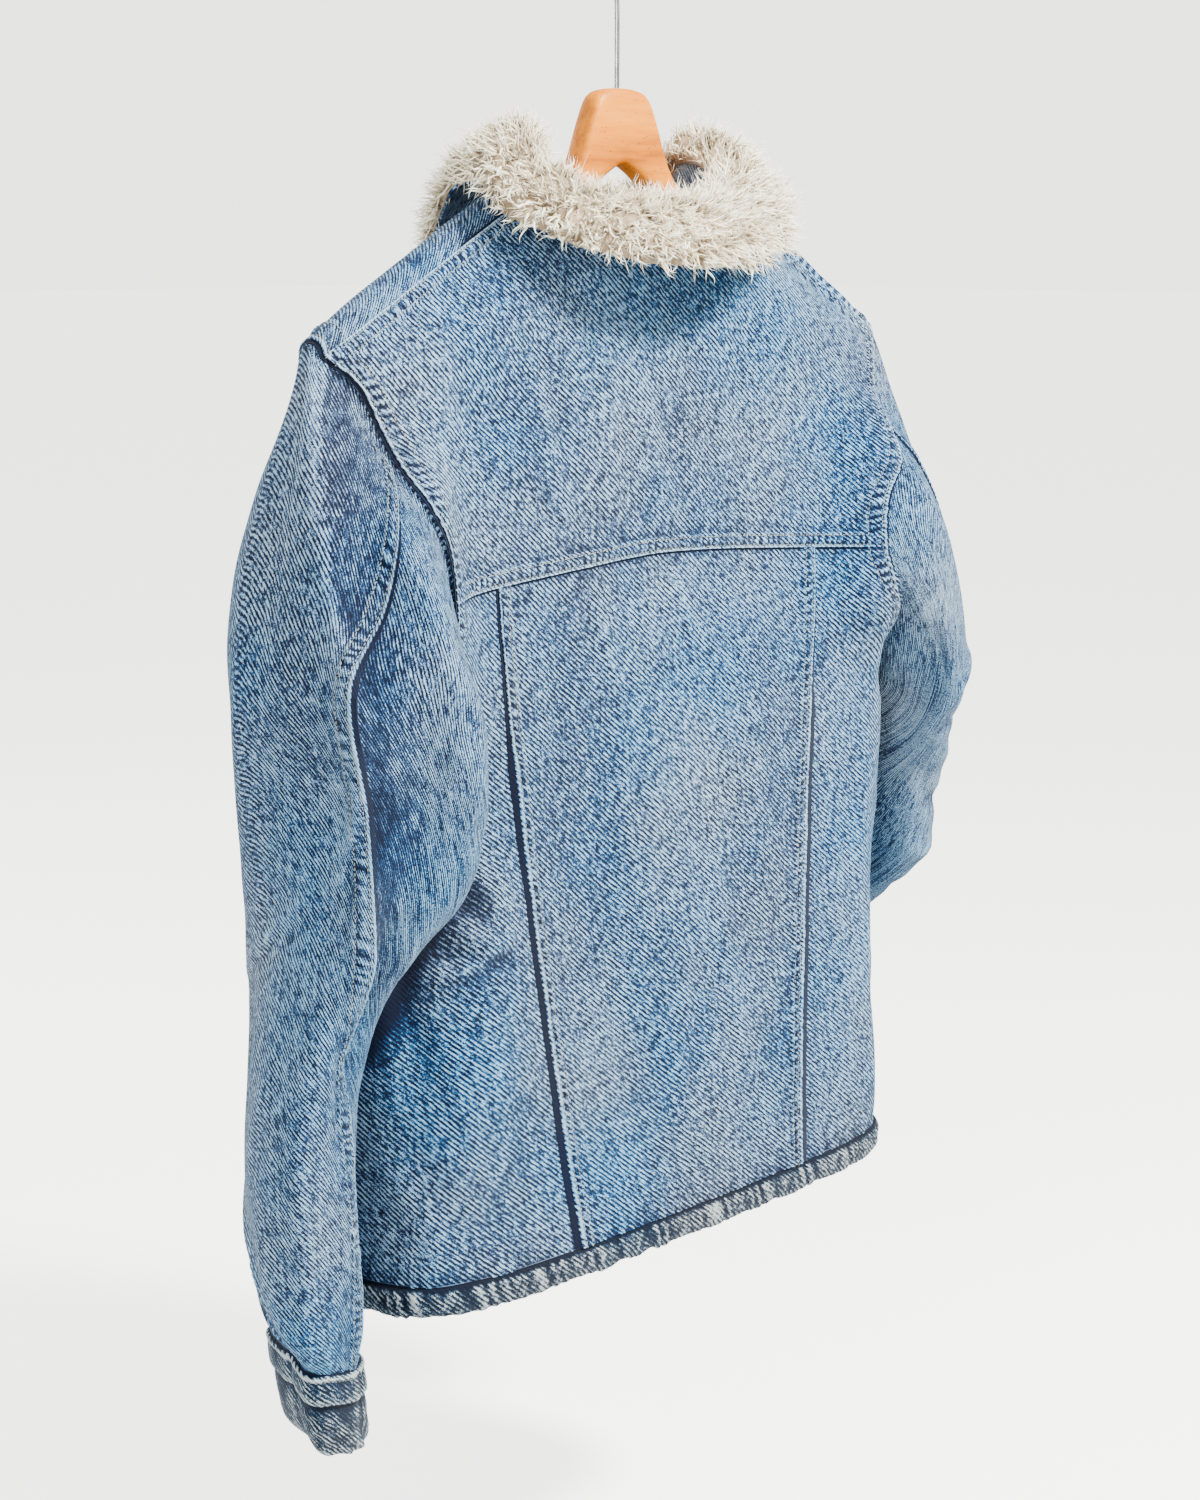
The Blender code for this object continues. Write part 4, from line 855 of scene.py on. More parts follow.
def back_cloth(rows, columns):
    """The back's cloth at these places of its grid."""
    found = smooth_at(back_grid, rows, columns)
    points, normals = found[..., :3], unit(found[..., 3:6])
    across, seam, edge, rise, up = np.moveaxis(found[..., 6:], -1, 0)
    lift, pale = creased(BACK_CREASES, across, points[..., 2])
    uneven, faded = wear_of(BACK_WEAR, points, 11)
    lift += uneven
    pale += faded
    past_band = np.where(seam > 0, seam, np.maximum(-seam - BAND_WIDTH, 0))
    past_yoke = np.where(rise > 0, np.maximum(rise - BAND_WIDTH, 0), -rise)
    for where, along, away, period, seed, below in (
        (rise < BAND_WIDTH / 2, up, past_band, SEAM_PERIOD, 21, 0.0),
        # the yoke's band gets 0.1 more darkness beside it: painted shadow of its raised edge
        (True, across, past_yoke, YOKE_SEAM_PERIOD, 22, 0.1),
        (rise > -0.10, up, np.maximum(edge - BAND_WIDTH, 0), SEAM_PERIOD, 23, 0.0),
    ):
        work_lift, work_pale = seam_work(along, away, period, seed, below)
        lift += np.where(where, work_lift, 0)
        pale += np.where(where, work_pale, 0)
    gathers = puckers(across, up, HEM_PERIOD, 24, HEM_REACH)
    lift += HEM_PUCKER * gathers
    pale += 0.50 * gathers * np.exp(-up / 0.02) - 0.40 * np.exp(-up / 0.007)
    return Cloth(points + normals * lift[..., None], normals, pale, np.stack((across, points[..., 2]), -1))


last_row, last_column = back_grid.shape[0] - 1, back_grid.shape[1] - 1
yoke_rows = (yoke_row, last_row)
yoke_walls = [panel(back_cloth, back_grid, yoke_rows, (0, last_column))]
level_band(yoke_walls, back_cloth, back_grid, (0, last_column), yoke_row, 1, YOKE_TICK, 31)
for columns in ((0, middle - NECK_CELLS), (middle + NECK_CELLS, last_column)):
    level_band(yoke_walls, back_cloth, back_grid, columns, last_row, -1, ROPE_TICK, 32)
upright_band(yoke_walls, back_cloth, back_grid, yoke_rows, 0, 1, ROPE_TICK, 33)
upright_band(yoke_walls, back_cloth, back_grid, yoke_rows, last_column, last_column - 1, ROPE_TICK, 34)
add_cloth("back_yoke", yoke_walls, DENIM_SIDES)

centre_walls = [panel(back_cloth, back_grid, (0, yoke_row), (middle - seam_column, middle + seam_column))]
for side in (-1, 1):
    ditch, soft = middle + side * seam_column, middle + side * CENTRE_CELLS
    upright_band(centre_walls, back_cloth, back_grid, (0, yoke_row), ditch, soft, CENTRE_TICK, 35 + side)
add_cloth("back_centre", centre_walls, DENIM_SIDES)

for name, columns, edge_column, beside in (
    ("right", (0, middle - seam_column), 0, 1),
    ("left", (middle + seam_column, last_column), last_column, last_column - 1),
):
    side_walls = [panel(back_cloth, back_grid, (0, yoke_row), columns)]
    armhole_rows = (band_start, yoke_row)
    upright_band(side_walls, back_cloth, back_grid, armhole_rows, edge_column, beside, ROPE_TICK, 37)
    add_cloth(f"back_side_{name}", side_walls, DENIM_SIDES)


# ----------------------------------------
# Fronts: left and right, of the same denim, closed at the middle and bent over the shoulders to the
# yoke's shoulder seams. They are plain apart from their folds, with a felled band at the armholes.
# ----------------------------------------
FRONT_CREASES = table(Crease, (
    (0.060, -0.320, 0.045, -0.480, 0.010, 0.0012, 0.10),
    (0.110, -0.380, 0.090, -0.620, 0.014, 0.0016, 0.10),
    (0.150, -0.300, 0.170, -0.420, 0.010, -0.0014, -0.06),
    (0.070, -0.600, 0.085, -0.850, 0.012, 0.0016, 0.12),
    (0.160, -0.560, 0.130, -0.800, 0.014, -0.0016, -0.05),
    (0.220, -0.570, 0.190, -0.700, 0.010, 0.0018, 0.12),
    (0.240, -0.680, 0.205, -0.860, 0.012, 0.0018, 0.10),
    (0.120, -0.250, 0.180, -0.290, 0.012, 0.0014, 0.12),
))


FRONT_BAND_FROM = 0.3
FRONT_STEP = 0.0045


def front_sheet(mirror, back_half, back_half_normals):
    """One front's grid: points and normals with lengths across, in from the armhole and up from the hem."""
    points, normals = half_sheet(-1, mirror, FRONT_PLACES, front_angles, FRONT_NECK_TOPS)
    carry_over_shoulder(points, normals, back_half[-1], back_half_normals[-1])
    across = lengths_along(points, 1)
    extra = np.stack((across, across[:, -1:] - across, lengths_along(points, 0)), axis=2)
    return points, normals, np.concatenate((points, normals, extra), axis=2)


def front_cloth_of(grid, mirror, seed):
    def front_cloth(rows, columns):
        found = smooth_at(grid, rows, columns)
        points, normals = found[..., :3], unit(found[..., 3:6])
        across, edge, up = np.moveaxis(found[..., 6:], -1, 0)
        lift, pale = creased(FRONT_CREASES, across, points[..., 2] + 0.01 * (mirror < 0))
        uneven, faded = wear_of(FRONT_WEAR, points, seed)
        work_lift, work_pale = seam_work(up, np.maximum(edge - BAND_WIDTH, 0), SEAM_PERIOD, seed + 3)
        lift += uneven + np.where(up > FRONT_BAND_FROM, work_lift, 0)
        pale += faded + np.where(up > FRONT_BAND_FROM, work_pale, 0)
        gathers = puckers(across, up, HEM_PERIOD, seed + 4, HEM_REACH)
        lift += HEM_PUCKER * gathers
        pale += 0.26 * gathers * np.exp(-up / 0.02) - 0.10 * np.exp(-up / 0.006)
        cut = np.stack((mirror * across, up), -1)
        return Cloth(points + normals * lift[..., None], normals, pale, cut)

    return front_cloth


fronts = {}
arc_row = FRONT_PLACES.index(SHOULDER)
top_row = len(FRONT_PLACES) - 1
front_edge = CENTRE_CELLS + SIDE_CELLS + 2
for name, mirror, back_half, seed in (("left", 1, left_back, 41), ("right", -1, right_back, 51)):
    points, normals, grid = front_sheet(mirror, *back_half)
    fronts[name] = (points, normals)
    cloth = front_cloth_of(grid, mirror, seed)
    lower = panel(cloth, grid, (0, arc_row), (0, front_edge), FRONT_STEP)
    over = panel(cloth, grid, (arc_row, top_row), (NECK_CELLS, front_edge))
    walls = [lower, over]
    upright_band(walls, cloth, grid, (band_start, top_row), front_edge, front_edge - 1, ROPE_TICK, seed + 5)
    add_cloth(f"front_{name}", walls, DENIM_SIDES, cut_walls=2)

# ----------------------------------------
# Sleeves: each of an upper and an under piece, felled together down the back of the arm with a
# double row of stitching, and set into the armhole below its band.
# ----------------------------------------
# Down from the armhole, inner and outer are the ends of each section beside the body and away from it,
# y is its middle and half its half width front to back. turn swings its front in, and pitch drops its
# back where the arm runs forward.
SleeveSection = namedtuple("SleeveSection", "place inner_x inner_z outer_x outer_z y half turn pitch")
ARMHOLE_OVAL = SleeveSection(-1, 0.272, -0.556, 0.272, -0.284, 0.004, 0.080, 0, 0)
LEFT_SLEEVE = table(SleeveSection, (
    (0, 0.275, -0.560, 0.290, -0.318, 0.012, 0.086, -4, 0),
    (1, 0.276, -0.572, 0.304, -0.360, 0.024, 0.088, -10, 0),
    (2, 0.275, -0.586, 0.315, -0.415, 0.040, 0.086, -18, 0),
    (3, 0.273, -0.604, 0.325, -0.480, 0.055, 0.080, -23, 0),
    (4, 0.271, -0.628, 0.335, -0.550, 0.056, 0.074, -17, 0),
    (5, 0.270, -0.654, 0.345, -0.620, 0.043, 0.069, 3, 0),
    (6, 0.272, -0.692, 0.352, -0.680, 0.030, 0.069, 18, 0),
    (7, 0.274, -0.745, 0.355, -0.740, 0.023, 0.069, 26, 0),
    (8, 0.275, -0.800, 0.355, -0.800, 0.021, 0.068, 28, 0),
    (9, 0.275, -0.858, 0.353, -0.852, 0.022, 0.064, 27, 0),
    (10, 0.276, -0.905, 0.347, -0.890, 0.022, 0.057, 25, 0),
    (11, 0.277, -0.930, 0.338, -0.910, 0.022, 0.048, 25, 0),
))
RIGHT_SLEEVE = table(SleeveSection, (
    (0, 0.276, -0.560, 0.290, -0.318, 0.006, 0.084, 0, 0),
    (1, 0.279, -0.568, 0.302, -0.362, 0.008, 0.084, 0, 0),
    (2, 0.281, -0.578, 0.313, -0.415, 0.009, 0.082, 0, 0),
    (3, 0.281, -0.590, 0.322, -0.470, 0.008, 0.079, 0, 0),
    (4, 0.281, -0.604, 0.331, -0.525, 0.002, 0.076, 0, 0),
    (5, 0.281, -0.622, 0.337, -0.580, -0.006, 0.072, 0, 6),
    (6, 0.280, -0.648, 0.340, -0.632, -0.014, 0.070, 0, 18),
    (7, 0.273, -0.685, 0.336, -0.680, -0.036, 0.069, 0, 36),
    (8, 0.262, -0.728, 0.328, -0.728, -0.080, 0.066, 0, 42),
    (9, 0.250, -0.772, 0.314, -0.772, -0.120, 0.063, 0, 38),
    (10, 0.240, -0.822, 0.302, -0.822, -0.152, 0.058, 0, 28),
    (11, 0.237, -0.862, 0.292, -0.862, -0.172, 0.049, 0, 20),
))
SLEEVE_PLACES = (0, 1, 2, 3, 4, 5, 5.5, 6, 6.5, 7, 7.7, 8.4, 9.1, 9.8, 10.4, 11)
ARMHOLE_HOLD = (0.80, 0.55, 0.34, 0.18, 0.08, 0.02)
TURN_SLIDE = 0.3
SLEEVE_SQUARE = 0.10
UNDERARM_ROLL = 0.004
ROLL_REACH = 75
ROLL_EASE = 0.7
ROLL_LEAN = 0.4
ARMHOLE_STEP = 0.006
SLEEVE_CLEAR = 0.0035
CLEAR_FROM = -0.515
BACK_SLEEVE_SEAM = 9
FRONT_SLEEVE_SEAM = 29
FRONT_SEAM_TURN = 312

# Where the sleeve's back seam runs: its turn in degrees from the underarm over the back.
SeamTurn = namedtuple("SeamTurn", "place left right")
SEAM_TURNS = table(SeamTurn, (
    (0, 132, 132),
    (1, 144, 134),
    (2, 159, 136),
    (3, 166, 138),
    (4, 146, 138),
    (5, 114, 138),
    (6, 86, 138),
    (7, 62, 136),
    (8, 52, 134),
    (11, 46, 130),
))

# Sleeve folds run from one place and turn to another; turn is in degrees from the underarm over the back.
SleeveFold = namedtuple("SleeveFold", "place_from turn_from place_to turn_to width lift")
LEFT_SLEEVE_FOLDS = table(SleeveFold, (
    (1.8, 180, 6.0, 102, 14, 0.007),
    (2.2, 156, 6.0, 74, 13, -0.010),
    (2.0, 88, 4.2, 64, 24, 0.006),
    (6.8, 120, 9.4, 110, 14, 0.004),
    (9.0, 158, 10.3, 118, 14, 0.005),
    (9.6, 190, 11.0, 150, 13, -0.004),
    (8.6, 62, 10.4, 24, 15, 0.004),
    (5.4, 190, 6.6, 220, 18, -0.004),
))
RIGHT_SLEEVE_FOLDS = table(SleeveFold, (
    (3.4, 50, 3.9, 150, 12, 0.005),
    (5.6, 60, 6.0, 165, 14, -0.006),
    (6.5, 60, 6.9, 165, 13, 0.008),
    (7.3, 70, 7.5, 170, 13, -0.006),
    (3.0, 160, 5.2, 190, 18, -0.005),
    (9.2, 150, 10.6, 90, 15, 0.004),
))
PLACE_DEGREES = 16.0


def armhole_ring(back, back_out, front, front_out):
    """The armhole's edge from the underarm up the back and down the front, with normals and outward steps."""
    low = len(SIDE_PLACES) - 1
    back_rows = list(range(low, arc_row + 1))
    front_rows = list(range(len(FRONT_PLACES) - 2, low, -1))
    ring = np.array([back[i, -1] for i in back_rows] + [front[i, -1] for i in front_rows])
    normals = np.array([back_out[i, -1] for i in back_rows] + [front_out[i, -1] for i in front_rows])
    beside = np.array([back[i, -2] for i in back_rows] + [front[i, -2] for i in front_rows])
    along = unit(np.roll(ring, -1, axis=0) - np.roll(ring, 1, axis=0))
    along[0] = (0, 1, 0)
    steps = unit(np.cross(normals, along))
    steps *= np.sign(((ring - beside) * steps).sum(axis=1, keepdims=True))
    steps[0] = (0, 0, 1)
    return ring, normals, steps


def sleeve_oval(section, angles, mirror):
    """A ring of points round one section of the sleeve."""
    inner = np.array((section.inner_x, 0, section.inner_z))
    outer = np.array((section.outer_x, 0, section.outer_z))
    turn, pitch = math.radians(section.turn), math.radians(section.pitch)
    middle_point = (inner + outer) / 2 + np.array((0, section.y, 0))
    toward_body = (inner - outer) / 2
    toward_back = section.half * np.array(
        (math.sin(turn), math.cos(turn) * math.cos(pitch), -math.cos(turn) * math.sin(pitch))
    )
    across, round_back = np.cos(angles)[:, None], np.sin(angles)[:, None]
    ring = (
        middle_point
        + toward_body * across * (1 + SLEEVE_SQUARE * round_back**2)
        + toward_back * round_back * (1 + SLEEVE_SQUARE * across**2)
    )
    return ring * (mirror, 1, 1)


def section_at(kind, rows, place):
    """A whole section of a table, read between its rows."""
    return kind(*(column(rows, name, place) for name in kind._fields))


def seam_spread(side, place, count):
    """The turns of a ring's points, spread between the sleeve's two seams."""
    places = [row.place for row in SEAM_TURNS]
    back = float(np.interp(place, places, [getattr(row, side) for row in SEAM_TURNS]))
    seams = (0, BACK_SLEEVE_SEAM, FRONT_SLEEVE_SEAM, count)
    return np.radians(np.interp(range(count), seams, (0, back, FRONT_SEAM_TURN, 360)))


def sleeve_lift(folds, place, turns):
    """The folds' height round one ring of the sleeve."""
    total = np.zeros(len(turns))
    for fold in folds:
        run = np.array(((fold.place_to - fold.place_from) * PLACE_DEGREES, fold.turn_to - fold.turn_from))
        for i, turn in enumerate(turns):
            point = np.array(((place - fold.place_from) * PLACE_DEGREES, turn - fold.turn_from))
            share = np.clip(point @ run / (run @ run), 0, 1)
            away = np.linalg.norm(point - share * run) / fold.width
            total[i] += fold.lift * math.exp(-away * away)
    return total


def body_half_width(mirror, y, z):
    """The body's reach to the side at this depth and height, below the underarm; nothing past its depth."""
    heights = [column(SECTIONS, "height", p) - column(SECTIONS, "drop", p) for p in SIDE_PLACES]
    place = float(np.interp(z, heights, SIDE_PLACES))
    side = 1 if y >= 0 else -1
    found = [sheet_point(side, place, mirror * angle)[0] for angle in range(90, 40, -5)]
    depths, reaches = [abs(p[1]) for p in found], [abs(p[0]) for p in found]
    return float(np.interp(abs(y) - SLEEVE_CLEAR, depths, reaches, right=0))


def clear_body(rings, mirror):
    """Moves what hangs against the body out to just clear of it."""
    for ring in rings:
        for point in ring:
            if point[2] < CLEAR_FROM:
                reach = body_half_width(mirror, point[1], point[2]) + SLEEVE_CLEAR
                point[0] = mirror * max(abs(point[0]), reach)


# Creases of the sleeves, paler on their ridges from wear and with painted shade in their troughs and falls:
# across is a turn in degrees from the underarm over the back, and up is a place down the sleeve. Both are
# scaled to lengths on the cloth.
AROUND_DEGREE = 0.00135
PLACE_LENGTH = 0.056
LEFT_SLEEVE_CREASES = table(Crease, (
    (176, -1.6, 169, 2.9, 0.010, 0.0050, 0.30, 0.8),
    (171, 1.9, 144, 4.7, 0.010, 0.0050, 0.34, 1.0),
    (152, 3.8, 74, 6.3, 0.011, 0.0050, 0.30, 1.0),
    (214, 3.0, 186, 4.2, 0.010, 0.0012, 0.16),
    (226, 5.9, 156, 4.7, 0.006, 0.0018, 0.40),
    (230, 6.1, 160, 5.0, 0.007, -0.0014, -0.14),
    (150, 6.4, 190, 8.2, 0.010, 0.0022, 0.14),
    (118, 6.0, 104, 8.8, 0.010, 0.0018, 0.10),
    (205, 5.8, 190, 7.6, 0.010, -0.0020, -0.12),
    (228, 8.2, 168, 9.8, 0.010, 0.0038, 0.22),
    (218, 8.8, 150, 10.5, 0.008, -0.0036, -0.24),
    (196, 9.1, 140, 10.7, 0.006, 0.0032, 0.22),
    (206, 10.1, 172, 11.0, 0.004, -0.0032, -0.60),
    (180, 9.9, 128, 11.0, 0.004, -0.0032, -0.60),
    (120, 9.6, 86, 10.7, 0.008, 0.0026, 0.16),
    (130, 0.6, 100, 3.2, 0.016, 0.0020, 0.16),
    (96, 2.2, 138, 4.2, 0.007, -0.0018, -0.22),
    (84, 2.7, 128, 3.2, 0.007, 0.0016, 0.16),
    (80, 3.4, 120, 4.5, 0.008, -0.0018, -0.16),
    (74, 4.3, 116, 4.9, 0.009, 0.0018, 0.10),
    (60, 3.2, 104, 3.6, 0.010, -0.0018, -0.14),
    (250, 6.0, 300, 6.6, 0.010, -0.0026, -0.12),
    (240, 6.6, 300, 7.0, 0.010, 0.0026, 0.14),
))
RIGHT_SLEEVE_CREASES = table(Crease, (
    (46, 3.4, 150, 3.9, 0.009, 0.0040, 0.24),
    (54, 4.2, 140, 4.7, 0.008, -0.0040, -0.50),
    (60, 5.0, 130, 5.3, 0.009, 0.0032, 0.22),
    (56, 5.7, 150, 6.0, 0.008, -0.0046, -0.70),
    (56, 6.4, 160, 6.6, 0.009, 0.0042, 0.26),
    (70, 7.0, 160, 7.2, 0.007, -0.0034, -0.26),
    (80, 7.6, 150, 8.0, 0.010, 0.0026, 0.14),
    (96, 0.0, 78, 2.4, 0.012, 0.0026, 0.14),
    (70, 0.6, 62, 2.6, 0.010, -0.0024, -0.20),
    (200, 5.0, 280, 5.6, 0.010, -0.0030, -0.14),
    (190, 5.8, 290, 6.3, 0.010, 0.0030, 0.16),
    (200, 6.8, 290, 7.0, 0.010, -0.0030, -0.14),
    (160, 8.4, 110, 10.4, 0.010, 0.0026, 0.16),
    (220, 9.2, 160, 10.6, 0.008, -0.0030, -0.16),
    (140, 9.4, 90, 10.8, 0.008, -0.0028, -0.20),
    (176, 1.0, 170, 2.8, 0.010, 0.0020, 0.14),
))


def sleeve_rings(side, mirror, sections, folds, armhole):
    """The sleeve's rings from the armhole down, with their normals and the turn of each point."""
    ring, out, steps = armhole
    count = len(ring)
    even = np.linspace(0, 360, count, endpoint=False)
    oval = ARMHOLE_OVAL
    rise = (oval.outer_z - oval.inner_z) / 2
    found = np.arctan2((ring[:, 1] - oval.y) / oval.half, (oval.inner_z + rise - ring[:, 2]) / rise)
    found = np.unwrap(np.where(found < -0.2, found + 2 * math.pi, found))
    found[0] = 0
    from_underarm = np.minimum(even, 360 - even)
    roll = np.clip(1 - from_underarm / ROLL_REACH, 0, 1)[:, None] ** ROLL_EASE
    step_in = UNDERARM_ROLL / 2 * roll + ARMHOLE_STEP * (1 - roll)
    second = ring + out * UNDERARM_ROLL * roll + steps * step_in
    rings = [ring, second]
    away = ring - sleeve_oval(oval, found, mirror)
    turns = [np.degrees(found), np.degrees(found)]
    for place in SLEEVE_PLACES:
        held = float(np.interp(place, range(len(ARMHOLE_HOLD) + 1), ARMHOLE_HOLD + (0,)))
        slide = min(1, TURN_SLIDE * place)
        angles = found * (1 - slide) + seam_spread(side, place, count) * slide
        turns.append(np.degrees(angles))
        rings.append(sleeve_oval(section_at(SleeveSection, sections, place), angles, mirror) + away * held)
    rings = np.array(rings)
    normals = tube_normals(rings)
    lifts = np.array([sleeve_lift(folds, p, np.degrees(seam_spread(side, p, count))) for p in SLEEVE_PLACES])
    rings[2:] += normals[2:] * lifts[..., None]
    clear_body(rings[2:], mirror)
    normals = tube_normals(rings)
    normals[0] = out
    normals[1] = unit(out + normals[2] - steps * roll * ROLL_LEAN)
    return rings, normals, np.array(turns)


EASED_IN = 0.02
CUFF_GATHER = 0.0012
CUFF_PERIOD = 0.016
CUFF_REACH = 0.022


def sleeve_cloth_of(grid, creases, seed):
    scaled = [
        c._replace(
            across_from=c.across_from * AROUND_DEGREE, up_from=-c.up_from * PLACE_LENGTH,
            across_to=c.across_to * AROUND_DEGREE, up_to=-c.up_to * PLACE_LENGTH,
        )
        for c in creases
    ]

    def sleeve_cloth(rows, columns):
        found = smooth_at(grid, rows, columns)
        points, normals = found[..., :3], unit(found[..., 3:6])
        turn_x, turn_y, place, seam, down, around = np.moveaxis(found[..., 6:], -1, 0)
        turn = np.degrees(np.arctan2(turn_y, turn_x)) % 360
        lift, pale = creased(scaled, turn * AROUND_DEGREE, -place * PLACE_LENGTH)
        uneven, faded = wear_of(SLEEVE_WEAR, points, seed)
        beside = np.where(seam < 0, -seam, np.maximum(seam - BAND_WIDTH, 0))
        work_lift, work_pale = seam_work(down, beside, SEAM_PERIOD, seed + 3)
        end = down.max() - down
        gathers = puckers(around, end, CUFF_PERIOD, seed + 4, CUFF_REACH)
        lift += uneven + work_lift + CUFF_GATHER * gathers
        pale += faded + work_pale - 0.30 * np.exp(-down / 0.006)
        pale += 0.20 * gathers * np.exp(-end / 0.03) - 0.15 * np.exp(-end / 0.006)
        eased = np.clip(down / EASED_IN, 0, 1)
        lift *= eased * eased * (3 - 2 * eased)
        return Cloth(points + normals * lift[..., None], normals, pale, np.stack((seam, -down), -1))

    return sleeve_cloth


sleeve_ends = {}
for name, mirror, sections, folds, creases, back_half, seed in (
    ("left", 1, LEFT_SLEEVE, LEFT_SLEEVE_FOLDS, LEFT_SLEEVE_CREASES, left_back, 61),
    ("right", -1, RIGHT_SLEEVE, RIGHT_SLEEVE_FOLDS, RIGHT_SLEEVE_CREASES, right_back, 71),
):
    armhole = armhole_ring(*back_half, *fronts[name])
    rings, normals, turns = sleeve_rings(name, mirror, sections, folds, armhole)
    down = lengths_along(rings, 0)
    count, end_row = rings.shape[1], len(rings) - 1
    turned = np.arange(count + BACK_SLEEVE_SEAM + 2) % count
    around = lengths_along(rings[:, turned], 1)
    places = np.broadcast_to(np.array((-0.15, -0.05) + SLEEVE_PLACES, float)[:, None], around.shape)
    for part, start, end, seam_at in (
        ("upper", BACK_SLEEVE_SEAM, FRONT_SLEEVE_SEAM, BACK_SLEEVE_SEAM),
        ("under", FRONT_SLEEVE_SEAM, BACK_SLEEVE_SEAM + count, BACK_SLEEVE_SEAM + count),
    ):
        seam = around - around[:, seam_at : seam_at + 1]
        turn = np.radians(turns[:, turned])
        extra = np.stack((np.cos(turn), np.sin(turn), places, seam, down[:, turned], around), axis=2)
        grid = np.concatenate((rings[:, turned], normals[:, turned], extra), axis=2)
        cloth = sleeve_cloth_of(grid, creases, seed)
        walls = [panel(cloth, grid, (0, end_row), (start, end))]
        if part == "upper":
            along = even_places(grid[..., :3], 0, 1, end_row, BAND_STEP)
            cells = np.linalg.norm(grid[:, start + 1, :3] - grid[:, start, :3], axis=-1)
            reach = BAND_WIDTH / np.interp(along, range(len(cells)), cells)
            ditch = np.stack((along, np.full(len(along), float(start))), 1)
            soft = np.stack((along, start + reach), 1)
            add_band(walls, cloth, ditch, soft, SLEEVE_TICK, seed + 5)
        add_cloth(f"sleeve_{part}_{name}", walls, DENIM_SIDES)
    sleeve_ends[name] = rings, normals, around[-1, count]

# ----------------------------------------
# Cuffs: a stitched upper step with a pale worn piping where it meets the sleeve, and a softer
# turned-up step below it, whose edge is rounded and rubbed grey.
# ----------------------------------------
# The cuff's section, down from the sleeve: distance, how far it stands out, how pale it is, and whether a row
# of stitching runs there. The paleness is wear, except the dark groove under the upper step's edge, which is
# painted shadow.
CuffRow = namedtuple("CuffRow", "distance out pale stitched")
CUFF_ROWS = table(CuffRow, (
    (-0.0010, -0.0004, -1.60, False),
    (0.0006, -0.0002, -1.70, False),
    (0.0012, 0.0018, 0.20, False),
    (0.0026, 0.0030, 1.10, False),
    (0.0042, 0.0027, 0.85, False),
    (0.0055, 0.0018, -0.50, True),
    (0.0080, 0.0024, -0.25, False),
    (0.0120, 0.0028, -0.20, False),
    (0.0170, 0.0030, -0.10, False),
    (0.0212, 0.0028, 0.75, False),
    (0.0226, 0.0016, -0.10, False),
    # painted shadow in the groove under the upper step's edge
    (0.0234, 0.0002, -1.50, False),
    (0.0250, 0.0000, -1.20, False),
    (0.0290, 0.0008, -0.35, False),
    (0.0350, 0.0012, -0.20, False),
    (0.0420, 0.0012, -0.15, False),
    (0.0490, 0.0008, -0.15, False),
    (0.0560, 0.0002, -0.05, False),
    (0.0600, -0.0006, 0.35, False),
    (0.0618, -0.0016, 0.40, False),
))
CUFF_COLUMNS = 260
CUFF_WALL = 0.0020
# How the cuff tapers: distances down it, and its size there.
CUFF_TAPER = ((0.0240, 0.0440, 0.0620), (1.00, 0.99, 0.95))
CUFF_PIPING, CUFF_PIPING_PERIOD = 0.0006, 0.021
CUFF_TWIST, CUFF_TWIST_PERIOD, CUFF_TWIST_SLANT = 0.0016, 0.033, 1.3
CUFF_STEP_AT, CUFF_STEP_REACH = 0.023, 0.02
RUBBED_SIDES = (rubbed_denim, denim_inside)
for name, seed in (("left", 81), ("right", 91)):
    rings, normals, girth = sleeve_ends[name]
    columns = np.linspace(0, rings.shape[1], CUFF_COLUMNS, endpoint=False)
    end_rows = np.full(CUFF_COLUMNS, len(rings) - 1.0)
    end = smooth_at(np.concatenate((rings, normals), axis=2), end_rows, columns, closed=True)
    ring, outward = end[:, :3], unit(end[:, 3:])
    centre = ring.mean(axis=0)
    down = unit(centre - rings[-3].mean(axis=0))
    radial = unit(outward - down * (outward @ down)[:, None])
    around = np.linspace(0, girth, CUFF_COLUMNS)[None, :]
    distances, outs, pales, _ = np.array(CUFF_ROWS).T[..., None]
    scale = np.interp(distances, *CUFF_TAPER)[..., None]
    waves = puckers(around, distances * 0, CUFF_PIPING_PERIOD, seed)
    twist = puckers(around + distances * CUFF_TWIST_SLANT, 0, CUFF_TWIST_PERIOD, seed + 1)
    lower = np.clip((distances - CUFF_STEP_AT) / CUFF_STEP_REACH, 0, 1)
    lift = outs + CUFF_PIPING * waves * (1 - lower) + CUFF_TWIST * twist * lower
    pale = pales + 0.40 * waves + 0.45 * twist * lower
    spread = centre + (ring - centre) * scale + down * distances[..., None]
    outer = spread + radial * lift[..., None]
    inner = spread - radial * (CUFF_WALL - CUFF_TWIST * twist[..., None] * lower[..., None])
    cut = np.stack(np.broadcast_arrays(around, -distances), -1)
    for i, row in enumerate(CUFF_ROWS):
        if row.stitched:
            stitch_lines.append(np.concatenate((outer[i], outer[i, :1])) + STITCH_LIFT * np.array((0, 0, 1)))
    cuff_walls = [Wall(outer, inner, pale, cut, closed=True)]
    add_cloth(f"cuff_{name}", cuff_walls, RUBBED_SIDES)

